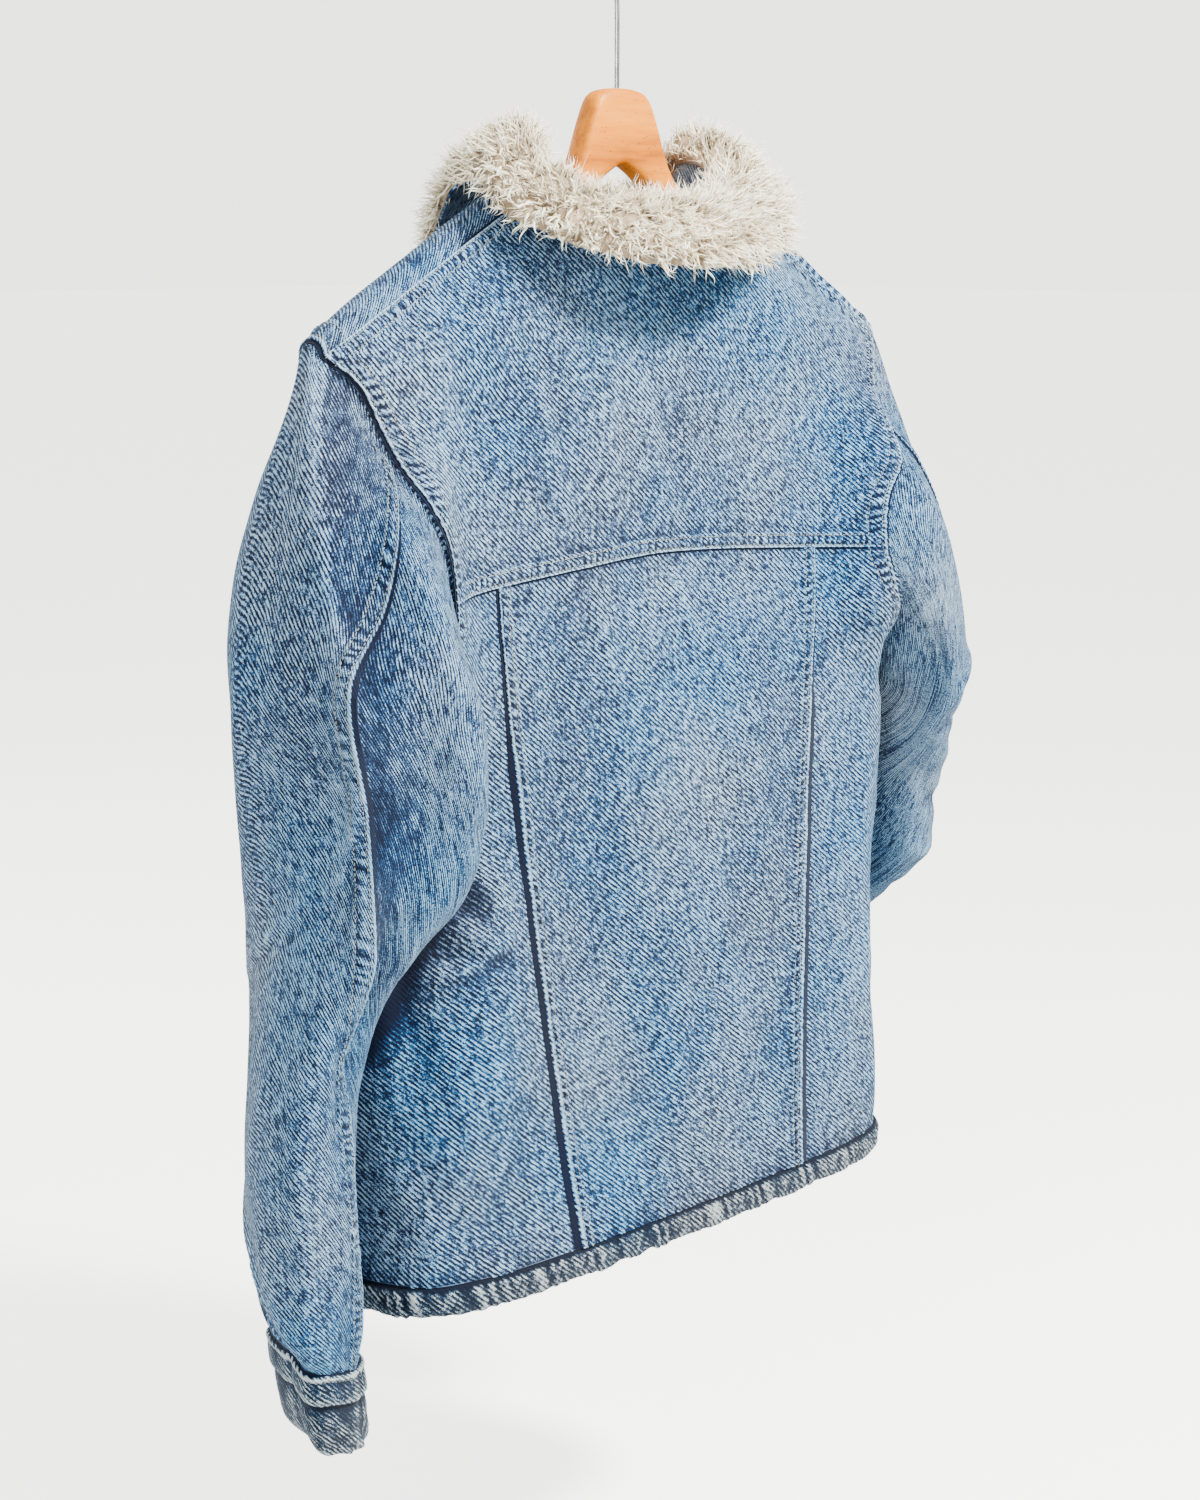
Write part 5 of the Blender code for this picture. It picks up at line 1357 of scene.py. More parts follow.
# ----------------------------------------
# Hem: the bottom of the jacket turned up and stitched down, so that a dark ditch runs above it and
# the turned edge gathers into short puckers, white on their crests and blue between them.
# ----------------------------------------
# The turned-up hem, down from the ditch: distance, how far it stands out, how much the gathers work it and
# how pale it has worn.
HemStep = namedtuple("HemStep", "distance out gathered pale")
HEM_STEPS = table(HemStep, (
    (-0.0008, -0.0003, 0.0, -1.60),
    (0.0008, -0.0002, 0.0, -1.80),
    (0.0014, 0.0012, 0.3, -1.20),
    (0.0030, 0.0026, 0.8, -0.25),
    (0.0050, 0.0033, 1.0, 0.00),
    (0.0080, 0.0037, 1.0, -0.05),
    (0.0110, 0.0037, 0.9, -0.12),
    (0.0140, 0.0034, 0.7, -0.16),
    (0.0168, 0.0028, 0.5, -0.16),
    (0.0190, 0.0018, 0.4, -0.10),
    (0.0204, 0.0004, 0.3, 0.34),
    (0.0210, -0.0012, 0.2, 0.34),
))
HEM_STEP_LENGTH = 0.0022
HEM_INSIDE = -0.0030
HEM_DRAW = 0.0016
HEM_SLANT = 0.35
HEM_SWAY = 0.0012
HEM_END = 0.004
HEM_PERIODS = (0.0125, 0.0062, 0.045)


def hem_piece(name, side, angle_from, angle_to, seed):
    """A length of the hem, gathered in waves and finer waves that slant between the ditch and the edge."""
    found = [sheet_point(side, 0, angle) for angle in np.linspace(angle_from, angle_to, 61)]
    line = np.array([np.concatenate((p, n)) for p, n in found])[None]
    length = lengths_along(line[..., :3], 1)[0]
    count = int(length[-1] / HEM_STEP_LENGTH)
    along = np.linspace(0, length[-1], count)
    columns = np.interp(along, length, range(len(length)))
    fine = smooth_at(np.concatenate((line, line)), np.zeros(count), columns)
    points, normals = fine[:, :3], unit(fine[:, 3:6])
    distances, outs, gathered, pales = np.array(HEM_STEPS).T[..., None]
    slanted = along[None, :] + HEM_SLANT * distances
    waves = puckers(slanted, 0, HEM_PERIODS[0], seed)
    fine_waves = puckers(slanted - 0.8 * distances, 0, HEM_PERIODS[1], seed + 1)
    work = 0.7 * waves + 0.3 * fine_waves
    ends = np.minimum(along, along[-1] - along).clip(0, HEM_END) / HEM_END
    lift = outs + HEM_DRAW * work * gathered * ends
    sway = HEM_SWAY * puckers(along, 0, HEM_PERIODS[2], seed + 2)
    pale = pales + 1.30 * work * np.minimum(gathered * 1.4, 1)
    drop = distances * (1 + 0.05 * work) + sway[None, :] * (distances / distances[-1])
    falling = np.array((0, 0, -1))
    outer = points + normals * lift[..., None] + falling * drop[..., None]
    inner = points + normals * HEM_INSIDE + falling * np.minimum(drop, drop[-3])[..., None]
    cut = np.stack(np.broadcast_arrays(along[None, :], -distances), -1)
    add_cloth(name, [Wall(outer, inner, pale, cut)], RUBBED_SIDES)


hem_piece("hem_back", 1, -90, 90, 101)
hem_piece("hem_front_left", -1, 0, 90, 103)
hem_piece("hem_front_right", -1, -90, 0, 105)

# ----------------------------------------
# Collar: a denim under collar sewn to the neck's edge, faced with long off-white fleece that rolls
# over its fold. The fleece is a thick combed pile whose fibres lean together in tufts.
# ----------------------------------------
# From the back's middle (place 0) to the front's end (place 1): how high the collar stands, how far its
# leaf reaches out and how far the leaf falls below the stand's top. The roll between them is drawn by
# COLLAR_LEAN, how far the stand leans in, and by shares of the stand's height and the leaf's reach.
CollarSection = namedtuple("CollarSection", "place stand out fall")
COLLAR = table(CollarSection, (
    (0.00, 0.011, 0.046, 0.035),
    (0.25, 0.011, 0.043, 0.029),
    (0.45, 0.011, 0.049, 0.027),
    (0.60, 0.012, 0.060, 0.031),
    (0.80, 0.013, 0.058, 0.044),
    (1.00, 0.012, 0.046, 0.066),
))
COLLAR_LEAN = 0.006
COLLAR_RISE = 1.35
STAND_PULL = 0.75
ROLL_OUT_PULL = 0.45
ROLL_UP_PULL = 1.15
COLLAR_GAP_HALF = 0.012
COLLAR_CLEAR = 0.0004
COLLAR_STEPS = 8
LONG_STEP = 0.022
NECK_OVAL_X = 0.095
NECK_OVAL_Y = 0.070
UNDER_COLLAR_WALL = 0.0016
BAND_RAISE = 0.0012
COLLAR_ACROSS = 0.0040
COLLAR_DOWN = 0.0035


def neck_half(back, back_out, front):
    """The neck's edge from the back's middle to the front's end, at the top of what is raised there."""
    behind = [back[-1, i] + back_out[-1, i] * BAND_RAISE for i in range(NECK_CELLS + 1)]
    over = [front[row, NECK_CELLS] for row in range(top_row - 1, arc_row - 1, -1)]
    before = [front[arc_row, i] for i in range(NECK_CELLS - 1, -1, -1)]
    return np.array(behind + over + before)


def collar_stations(neck):
    """Stations along one half of the neck's edge: its corners and the middles of its long steps."""
    neck = neck.copy()
    last = neck[-2] - neck[-1]
    neck[-1] += last * COLLAR_GAP_HALF / np.linalg.norm(last)
    found = [neck[0]]
    for point in neck[1:]:
        if np.linalg.norm(point - found[-1]) > LONG_STEP:
            found.append((point + found[-1]) / 2)
        found.append(point)
    return np.array(found)


def collar_profile(section):
    """Points out and up from the neck's edge: up the stand, over the roll and down the leaf."""
    top = section.stand * COLLAR_RISE
    stand_pull = (-COLLAR_LEAN, top * STAND_PULL)
    roll_pull = (section.out * ROLL_OUT_PULL, top * ROLL_UP_PULL)
    corners = np.array(((0, 0), stand_pull, roll_pull, (section.out, section.stand - section.fall)))
    t = np.linspace(0, 1, COLLAR_STEPS)[:, None]
    return (
        corners[0] * (1 - t) ** 3
        + corners[1] * 3 * t * (1 - t) ** 2
        + corners[2] * 3 * t * t * (1 - t)
        + corners[3] * t**3
    )


def collar_grid():
    """The collar's lines from the right front over the back to the left, with their outward ways."""
    halves = []
    for name, back_half in (("left", left_back), ("right", right_back)):
        stations = collar_stations(neck_half(*back_half, fronts[name][0]))
        lengths = lengths_along(stations[:, None], 0)[:, 0]
        halves.append((stations, lengths / lengths[-1]))
    (left_stations, left_shares), (right_stations, right_shares) = halves
    bases = np.concatenate((right_stations[:0:-1], left_stations))
    shares = np.concatenate((right_shares[:0:-1], left_shares))
    lines, outs = [], []
    for base, share in zip(bases, shares):
        out_way = unit(base * (1, 1, 0) / (NECK_OVAL_X**2, NECK_OVAL_Y**2, 1))
        profile = collar_profile(section_at(CollarSection, COLLAR, share))
        base = base + np.array((0, 0, COLLAR_CLEAR))
        lines.append([base + out_way * p[0] + np.array((0, 0, p[1])) for p in profile])
        outs.append([unit(out_way * -s[1] + np.array((0, 0, s[0]))) for s in np.gradient(profile, axis=0)])
    lines, outs = np.array(lines), np.array(outs)
    outs[:, 0] = unit(outs[:, 0] * (1, 1, 0))
    return np.concatenate((lines, outs), axis=2)


def fleece_finish(name, colours, along_fibre):
    """Fleece: off-white fibres that darken towards their roots, and a dark brown pile between them, both
    darkenings painted shade.
    """
    finish, tree, shader = new_finish(name)
    tuft = factor = noise(tree, object_place(tree), 75.0, 3.0, Roughness=0.6)
    if along_fibre:
        tip = node(tree, "Attribute", attribute_name="tip").outputs["Fac"]
        tone = node(tree, "Attribute", attribute_name="tone").outputs["Fac"]
        # lighter along each fibre from its root: painted shade deep in the pile
        factor = calc(tree, "MULTIPLY_ADD", tone, 0.45, calc(tree, "MULTIPLY", tip, 0.55))
        factor = calc(tree, "MULTIPLY_ADD", calc(tree, "SUBTRACT", tuft, 0.5), 1.1, factor)
    else:
        fill(tree, shader, {"Normal": bumped(tree, tuft, 0.8, 0.003)})
    fill(tree, shader, {
        "Base Color": ramp(tree, factor, colours), "Roughness": 0.95, "Specular IOR Level": 0.15,
        "Sheen Weight": 0.35, "Sheen Roughness": 0.5,
    })
    return finish


collar_sheet = collar_grid()
station_count, step_count = collar_sheet.shape[:2]
collar_rows = even_places(collar_sheet[..., :3], 0, 0, station_count - 1, COLLAR_ACROSS)
collar_columns = even_places(collar_sheet[..., :3], 1, 0, step_count - 1, COLLAR_DOWN)
made = smooth_at(collar_sheet, collar_rows[:, None], collar_columns[None, :])
collar_points, collar_ways = made[..., :3], unit(made[..., 3:])
collar_along = lengths_along(collar_points, 0)
collar_down = lengths_along(collar_points, 1)
collar_cut = np.stack((collar_along.mean(axis=1, keepdims=True) + 0 * collar_down, collar_down), -1)
collar_worn = 0.1 * unevenness(collar_points, 0.06, 121)
below = collar_points - collar_ways * UNDER_COLLAR_WALL
under_wall = Wall(below, collar_points, collar_worn - 0.1, collar_cut)
add_cloth("under_collar", [under_wall], (denim, denim))

# The pile's own thickness: full over the leaf, thin where it meets the neck's edge, rounded at the ends.
PILE = 0.0125
PILE_EDGE = 0.25
PILE_ROUNDING = 0.014
LEAF_ROUNDING = 0.20
NECK_ROUNDING = 0.10
PILE_UNEVEN = 0.0012
PILE_CLEAR = 0.0004
FIBRE_ROOT = 0.0015
down_share = collar_down / collar_down[:, -1:]
along_share = collar_along / collar_along[-1:]
from_end = np.minimum(along_share, 1 - along_share) * collar_along[-1].mean()
rounding = np.minimum(1, np.maximum(from_end, 0) / PILE_ROUNDING)
rounding = rounding * np.minimum(1, (1 - down_share) / LEAF_ROUNDING)
rounding = PILE_EDGE + (1 - PILE_EDGE) * np.sqrt(rounding * np.minimum(1, down_share / NECK_ROUNDING))
tufting = unevenness(collar_points, 0.016, 122) + 0.6 * unevenness(collar_points, 0.009, 123)
pile = PILE * rounding + PILE_UNEVEN * tufting * rounding
fleece_top = collar_points + collar_ways * pile[..., None]
fleece_base = collar_points + collar_ways * PILE_CLEAR
fleece_wall = Wall(fleece_top, fleece_base, collar_worn, collar_cut)
# The pile under the fibres is coloured as painted shade, dark brown; the fibres' colours run from painted
# shade at their roots to their own off-white at the tips.
PILE_PAINTED_SHADE = ((0.25, (0.10, 0.065, 0.03)), (0.5, (0.24, 0.17, 0.10)), (0.75, (0.45, 0.36, 0.23)))
FIBRE_COLOURS_AND_ROOT_SHADE = (
    (0.00, (0.07, 0.045, 0.02)),
    (0.24, (0.28, 0.20, 0.11)),
    (0.44, (0.80, 0.71, 0.49)),
    (0.68, (0.99, 0.96, 0.80)),
)
pile_shade_finish = fleece_finish("fleece_pile_painted_shade", PILE_PAINTED_SHADE, False)
fibre_finish = fleece_finish("fleece_fibres", FIBRE_COLOURS_AND_ROOT_SHADE, True)
add_cloth("collar_fleece", [fleece_wall], (pile_shade_finish, pile_shade_finish))


def grown(seed_piece, tree, values):
    """Runs a geometry tree on a piece and makes its result the piece's own smooth mesh."""
    grower = seed_piece.modifiers.new(tree.name, "NODES")
    grower.node_group = tree
    for socket in tree.interface.items_tree:
        if socket.in_out == "INPUT" and socket.name in values:
            grower[socket.identifier] = values[socket.name]
    bpy.context.view_layer.update()
    depsgraph = bpy.context.evaluated_depsgraph_get()
    mesh = bpy.data.meshes.new_from_object(seed_piece.evaluated_get(depsgraph))
    mesh.shade_smooth()
    seed_piece.modifiers.remove(grower)
    seed_piece.data = mesh


GEOMETRY = (("Geometry", "Geometry", None),)


def fibre_tree():
    """Fleece fibres: thin tapered hairs set over a surface, leaning along "comb" and together into tufts."""
    inputs = (
        ("Density", "Float", 1000.0), ("Length", "Float", 0.016), ("Radius", "Float", 0.0004),
        ("Tuft", "Float", 0.008), ("Sides", "Int", 3), ("Curl", "Float", 0.0045), ("Wild", "Float", 0.22),
        ("Seed", "Int", 1), ("Finish", "Material", None),
    )
    tree, given, out = new_group("fleece_fibres", "Geometry", GEOMETRY + inputs, (("Geometry", "Geometry"),))
    number = functools.partial(calc, tree)

    def vector(operation, *values):
        return node(tree, "VectorMath", dict(enumerate(values)), operation=operation).outputs["Vector"]

    def scaled(way, scale):
        return node(tree, "VectorMath", {0: way, "Scale": scale}, operation="SCALE").outputs["Vector"]

    def chance(low, high, seed):
        values = {2: low, 3: high, "Seed": seed}
        return node(tree, "FunctionNodeRandomValue", values, data_type="FLOAT").outputs[1]

    def stored(geometry, name, value):
        values = {"Geometry": geometry, "Name": name, "Value": value}
        kind = "GeometryNodeStoreNamedAttribute"
        return node(tree, kind, values, data_type="FLOAT", domain="POINT").outputs[0]

    set_out = {"Mesh": given["Geometry"], "Density": given["Density"], "Seed": given["Seed"]}
    roots = node(tree, "GeometryNodeDistributePointsOnFaces", set_out, distribute_method="RANDOM")
    place = node(tree, "GeometryNodeInputPosition").outputs[0]
    cells = {"Vector": place, "Scale": number("DIVIDE", 1.0, given["Tuft"])}
    tufts = node(tree, "TexVoronoi", cells, feature="F1").outputs
    shade = node(tree, "FunctionNodeSeparateColor", {0: tufts["Color"]}).outputs
    comb = node(tree, "GeometryNodeInputNamedAttribute", {0: "comb"}, data_type="FLOAT_VECTOR").outputs[0]
    any_way = {0: (-1, -1, -1), 1: (1, 1, 1), "Seed": 7}
    wild = node(tree, "FunctionNodeRandomValue", any_way, data_type="FLOAT_VECTOR").outputs[0]
    to_middle = vector("SUBTRACT", tufts["Position"], place)
    tuft_lean = vector("SUBTRACT", tufts["Color"], (0.5, 0.5, 0.5))
    way = vector("ADD", scaled(to_middle, number("DIVIDE", 0.75, given["Tuft"])), comb)
    way = vector("ADD", way, scaled(tuft_lean, 1.1))
    way = vector("ADD", way, scaled(wild, given["Wild"]))
    length = number("MULTIPLY", given["Length"], chance(0.65, 1.15, 3))
    length = number("MULTIPLY", length, number("ADD", 0.75, number("MULTIPLY", shade[1], 0.5)))
    tone = number("ADD", number("MULTIPLY", shade[0], 0.55), chance(0.0, 0.45, 5))
    upright = node(tree, "FunctionNodeAlignRotationToVector", {"Vector": way}, axis="Z")
    droop = {"Rotation": upright.outputs[0], "Vector": vector("ADD", comb, wild)}
    turned = node(tree, "FunctionNodeAlignRotationToVector", droop, axis="X", pivot_axis="Z")
    shape = {
        "Vertices": given["Sides"], "Side Segments": given["Sides"], "Radius Top": 0.0,
        "Radius Bottom": given["Radius"], "Depth": 1.0,
    }
    hair = node(tree, "GeometryNodeMeshCone", shape).outputs["Mesh"]
    up = node(tree, "SeparateXYZ", {0: place}).outputs[2]
    bow = number("MULTIPLY", number("MULTIPLY", up, up), given["Curl"])
    sway = number("MULTIPLY", number("SINE", number("MULTIPLY", up, 2 * math.pi)), given["Radius"])
    bend = node(tree, "CombineXYZ", {0: bow, 1: sway}).outputs[0]
    bent = node(tree, "GeometryNodeSetPosition", {"Geometry": hair, "Offset": bend}).outputs[0]
    hairs = {
        "Points": stored(roots.outputs["Points"], "tone", tone),
        "Instance": stored(bent, "tip", up),
        "Rotation": turned.outputs[0],
        "Scale": node(tree, "CombineXYZ", {0: 1.0, 1: 1.0, 2: length}).outputs[0],
    }
    finish_growth(tree, hairs, given["Finish"], out)
    return tree


def finish_growth(tree, instances, finish, out):
    """The end of a geometry tree: what it sets out is made real and has its finish."""
    set_out = node(tree, "GeometryNodeInstanceOnPoints", instances)
    real = node(tree, "GeometryNodeRealizeInstances", {"Geometry": set_out.outputs[0]})
    painted = node(tree, "GeometryNodeSetMaterial", {"Geometry": real.outputs[0], "Material": finish})
    tree.links.new(painted.outputs[0], out[0])


# The pile's growth: thick curling locks, with finer hairs between them.
Growth = namedtuple("Growth", "name density length radius tuft sides curl wild")
GROWTHS = table(Growth, (
    ("locks", 62000, 0.0150, 0.00135, 0.0080, 4, 0.0060, 0.35),
    ("hairs", 108000, 0.0160, 0.00040, 0.0060, 3, 0.0040, 0.45),
))
fibres = fibre_tree()
COMB_OUT = 0.70
UPRIGHT = np.array((0, 0, 0.7))
BLOCKS = 2
upright = np.clip(1 - down_share / 0.45, 0, 1)[..., None]
comb_down = unit(np.gradient(collar_points, axis=1)) * (0.20 + 0.90 * down_share)[..., None]
comb_ways = unit(comb_down + collar_ways * COMB_OUT + UPRIGHT * upright)
block_ends = np.linspace(0, len(collar_rows) - 1, BLOCKS + 1).astype(int)
for growth in GROWTHS:
    for number, (first, last) in enumerate(zip(block_ends[:-1], block_ends[1:]), 1):
        block = slice(first, last + 1)
        roots = (fleece_top - collar_ways * FIBRE_ROOT)[block]
        faces = grid_faces(np.arange(roots[..., 0].size).reshape(roots.shape[:2]))
        piece = add_mesh(f"fleece_{growth.name}_{number}", roots.reshape(-1, 3), faces, (fibre_finish,))
        comb = piece.data.attributes.new("comb", "FLOAT_VECTOR", "POINT")
        comb.data.foreach_set("vector", comb_ways[block].astype(np.float32).ravel())
        values = {field.capitalize(): value for field, value in growth._asdict().items()}
        grown(piece, fibres, {**values, "Seed": number, "Finish": fibre_finish})
        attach(piece, "root")

# ----------------------------------------
# Front closing: a plain denim band down the middle, stitched along both edges, with six plain
# steel shank buttons through stitched buttonholes.
# ----------------------------------------
BUTTON_BAND_HALF = 0.019
BUTTON_BAND_WALL = 0.0018
BAND_CLEAR = 0.0005
BAND_TOP_SHARE = 0.4
BUTTON_CLEAR = 0.0003
BUTTON_PLACES = (0.35, 1.15, 1.95, 2.75, 3.6, 4.45)
BAND_COLUMNS = (("right", 1), ("right", 0.5), ("left", 0), ("left", 0.5), ("left", 1))
BAND_STITCH_IN = 0.0035
BAND_RIDGE = 0.0012
BAND_PERIOD = 0.0075
HOLE_HALF = (0.0125, 0.0016)
HOLE_OFF = 0.004
BUTTON_SIDES = 28
HOLE_STEPS = 40


def band_grid():
    """The band's points and normals, laid on both fronts from the hem to the neck."""
    rows = []
    for row in range(FRONT_PLACES.index(SHOULDER) + 1):
        line = []
        for name, share in BAND_COLUMNS:
            points, normals = fronts[name]
            share *= BUTTON_BAND_HALF / abs(points[row, 1, 0])
            point = points[row, 0] * (1 - share) + points[row, 1] * share
            normal = normals[row, 0] * (1 - share) + normals[row, 1] * share
            line.append(np.concatenate((point, unit(normal))))
        rows.append(line)
    rows = np.array(rows)
    rows[-1, :, :3] += (rows[-2, :, :3] - rows[-1, :, :3]) * BAND_TOP_SHARE
    return rows


closing_grid = band_grid()


def closing_cloth(rows, columns):
    """The band's cloth at these places: ridged along its edges and puckered along its stitching."""
    found = smooth_at(closing_grid, rows, columns)
    points, normals = found[..., :3], unit(found[..., 3:])
    wide = BUTTON_BAND_HALF * (columns / 2 - 1) + 0 * rows
    heights = lengths_along(closing_grid[..., :3], 0)[:, 2]
    up = np.interp(rows, range(len(closing_grid)), heights) + 0 * columns
    inward = BUTTON_BAND_HALF - np.abs(wide)
    beside = inward - BAND_STITCH_IN
    ridge = np.clip(inward / BAND_RIDGE, 0, 1)
    lift = BAND_CLEAR + BUTTON_BAND_WALL * (0.35 + 0.65 * ridge)
    lift += 0.0010 * np.exp(-inward / BAND_RIDGE) * ridge
    lift -= 0.0006 * np.exp(-((beside / 0.0010) ** 2))
    lift += 0.0004 * puckers(up, beside, BAND_PERIOD, 131, 0.004)
    lift += 0.0004 * unevenness(points, 0.05, 132)
    pale = 0.42 * np.exp(-inward / 0.0015) - 0.16 * np.exp(-((beside / 0.0016) ** 2))
    pale += 0.16 * puckers(up, beside, BAND_PERIOD, 131, 0.006) + 0.07 * unevenness(points, 0.05, 133)
    return Cloth(points + normals * lift[..., None], normals, pale, np.stack((wide, up), -1))


band_rows = even_places(closing_grid[..., :3], 0, 0, len(closing_grid) - 1, 0.003)
band_places = np.sort(np.concatenate((np.linspace(0, 4, 17), (0.03, 0.08, 0.14, 3.86, 3.92, 3.97))))
made = closing_cloth(band_rows[:, None], band_places[None, :])
made_under = smooth_at(closing_grid, band_rows[:, None], band_places[None, :])
band_under = made_under[..., :3] + unit(made_under[..., 3:]) * BAND_CLEAR
band_wall = Wall(made.points, band_under, made.pale, made.cut)
for column_place in (BAND_STITCH_IN, 2 * BUTTON_BAND_HALF - BAND_STITCH_IN):
    column_place *= 2 / BUTTON_BAND_HALF
    line = closing_cloth(band_rows, np.full(len(band_rows), column_place))
    stitch_lines.append(line.points + line.normals * STITCH_LIFT)
add_cloth("button_band", [band_wall], DENIM_SIDES)


def worn_steel(name, colours, roughness):
    """Plain steel with a faint cloud of handling and fine scratches."""
    finish, tree, shader = new_finish(name)
    place = object_place(tree)
    drawn = node(tree, "Mapping", {"Vector": place, "Scale": (1.0, 1.0, 0.05)}).outputs[0]
    scratches = noise(tree, drawn, 1500.0, 2.0)
    fill(tree, shader, {
        "Base Color": ramp(tree, noise(tree, place, 90.0, 4.0), colours),
        "Roughness": calc(tree, "MULTIPLY_ADD", scratches, 0.18, roughness),
        "Normal": bumped(tree, scratches, 0.15, 0.0001),
        "Metallic": 1.0,
    })
    return finish


def lathe(centre, axis, profile, sides):
    """Points and faces of a turned part: a profile of (out, up) pairs about an axis, closed at both ends."""
    side_way = unit(np.cross(axis, (0, 0, 1)))
    other_way = np.cross(side_way, axis)
    turns = np.linspace(0, 2 * math.pi, sides, endpoint=False)
    rim = np.cos(turns)[:, None] * side_way + np.sin(turns)[:, None] * other_way
    points = np.concatenate([centre + axis * up + rim * out for out, up in profile])
    numbers = np.arange(len(points)).reshape(-1, sides)
    caps = [numbers[0, ::-1].tolist(), numbers[-1].tolist()]
    return points, caps + grid_faces(numbers, closed=True).tolist()


def squared(wave):
    """A wave with squarer corners, for the buttonhole's outline."""
    return np.sign(wave) * np.abs(wave) ** 0.5


button_steel = worn_steel("button_steel", ((0.3, (0.36, 0.34, 0.31)), (0.7, (0.62, 0.60, 0.56))), 0.28)
BUTTON_PROFILE = (
    (0.0020, 0.0000), (0.0050, 0.0000), (0.0053, 0.0009), (0.0078, 0.0011), (0.0084, 0.0016),
    (0.0085, 0.0023), (0.0082, 0.0030), (0.0075, 0.0034), (0.0068, 0.0033), (0.0062, 0.0028),
    (0.0055, 0.0028), (0.0040, 0.0033), (0.0020, 0.0037), (0.0006, 0.0038),
)
for number, place in enumerate(BUTTON_PLACES, 1):
    row = float(np.interp(place, FRONT_PLACES[: len(closing_grid)], range(len(closing_grid))))
    seat = closing_cloth(np.array([row]), np.array([2.0]))
    axis = seat.normals[0]
    points, faces = lathe(seat.points[0] + axis * BUTTON_CLEAR, axis, BUTTON_PROFILE, BUTTON_SIDES)
    button = add_mesh(f"steel_button_{number}", points, faces, (button_steel,), 40)
    dress(button, (f"button_{number}",))
    turns = np.linspace(0, 2 * math.pi, HOLE_STEPS)
    wide = 2 + (HOLE_OFF + HOLE_HALF[0] * squared(np.cos(turns))) * 2 / BUTTON_BAND_HALF
    cell = np.linalg.norm(closing_grid[int(row) + 1, 2, :3] - closing_grid[int(row), 2, :3])
    hole = closing_cloth(row + HOLE_HALF[1] * squared(np.sin(turns)) / cell, wide)
    stitch_lines.append(hole.points + hole.normals * STITCH_LIFT)

# ----------------------------------------
# Hanger: sawn and rounded beech, clear varnished, with a steel wire hook screwed into its neck. The
# body's middle rises to the hook and arches underneath; its arms follow the shoulders inside.
# ----------------------------------------
# place is the distance from the hanger's middle, and corner rounds the section, 1 being an oval. The
# arms' outer lengths lie along the shoulders.
HangerSection = namedtuple("HangerSection", "place top height half_depth corner")
HANGER_MIDDLE = table(HangerSection, (
    (0.000, -0.1150, 0.0510, 0.0100, 0.5),
    (0.014, -0.1160, 0.0560, 0.0100, 0.5),
    (0.024, -0.1200, 0.0590, 0.0100, 0.5),
    (0.031, -0.1340, 0.0510, 0.0100, 0.5),
    (0.042, -0.1610, 0.0330, 0.0098, 0.6),
    (0.056, -0.1800, 0.0270, 0.0095, 0.7),
    (0.074, -0.1860, 0.0300, 0.0090, 0.9),
    (0.095, -0.1895, 0.0300, 0.0088, 1.0),
    (0.122, -0.1960, 0.0290, 0.0086, 1.0),
))
ARM_STATIONS = (0.155, 0.175, 0.195, 0.212, 0.220)
ARM_HEIGHT = 0.028
ARM_HALF_DEPTH = 0.0084
ARM_END = 0.45
HANGER_CLEAR = 0.0006
ARM_CLOTH = 1.2
ARM_CORNER = 1.0
HANGER_SIDES = 48
HANGER_STEP = 0.004
WOOD_TOP = HANGER_MIDDLE[0].top
HOOK_RADIUS = 0.0215
WIRE_RADIUS = 0.0018
WIRE_SIDES = 20
WIRE_STEPS = 120
WIRE_TIP = (0.97, 0.85, 0.5)
WIRE_CLEAR = 0.0003
HOOK_START = -62
HOOK_END = 205
HOOK_STEPS = 18
HOOK_BEND = -0.060
HOOK_EASE_OUT = 0.0026
HOOK_EASE_UP = 0.006


def hanger_section(x):
    """A rounded section of the hanger at this distance from its middle."""
    if abs(x) > HANGER_MIDDLE[-1].place:
        turns = ((side, SHOULDER, angle_at_x(side, SHOULDER, abs(x))) for side in (1, -1))
        back, front = (plain_point(*turn)[1] for turn in turns)
        half = (back - front) / 2
        ridge = SECTIONS[SHOULDER].height - SECTIONS[SHOULDER].drop * shoulder_fall(x)
        top = ridge + half * SHOULDER_ARC_RISE - WALL * ARM_CLOTH - HANGER_CLEAR
        end = ARM_END if abs(x) == ARM_STATIONS[-1] else 1
        height, half_depth = ARM_HEIGHT * end, ARM_HALF_DEPTH * end
        top -= ARM_HEIGHT * (1 - end) / 4
        corner = ARM_CORNER
    else:
        top, height, half_depth, corner = (
            column(HANGER_MIDDLE, name, abs(x)) for name in HangerSection._fields[1:]
        )
    turns = np.linspace(0, 2 * math.pi, HANGER_SIDES, endpoint=False)
    across = np.sign(np.cos(turns)) * np.abs(np.cos(turns)) ** corner
    upward = np.sign(np.sin(turns)) * np.abs(np.sin(turns)) ** corner
    ring = np.zeros((HANGER_SIDES, 3))
    ring[:, 0] = x
    ring[:, 1] = half_depth * across
    ring[:, 2] = top - height / 2 + height / 2 * upward
    return ring


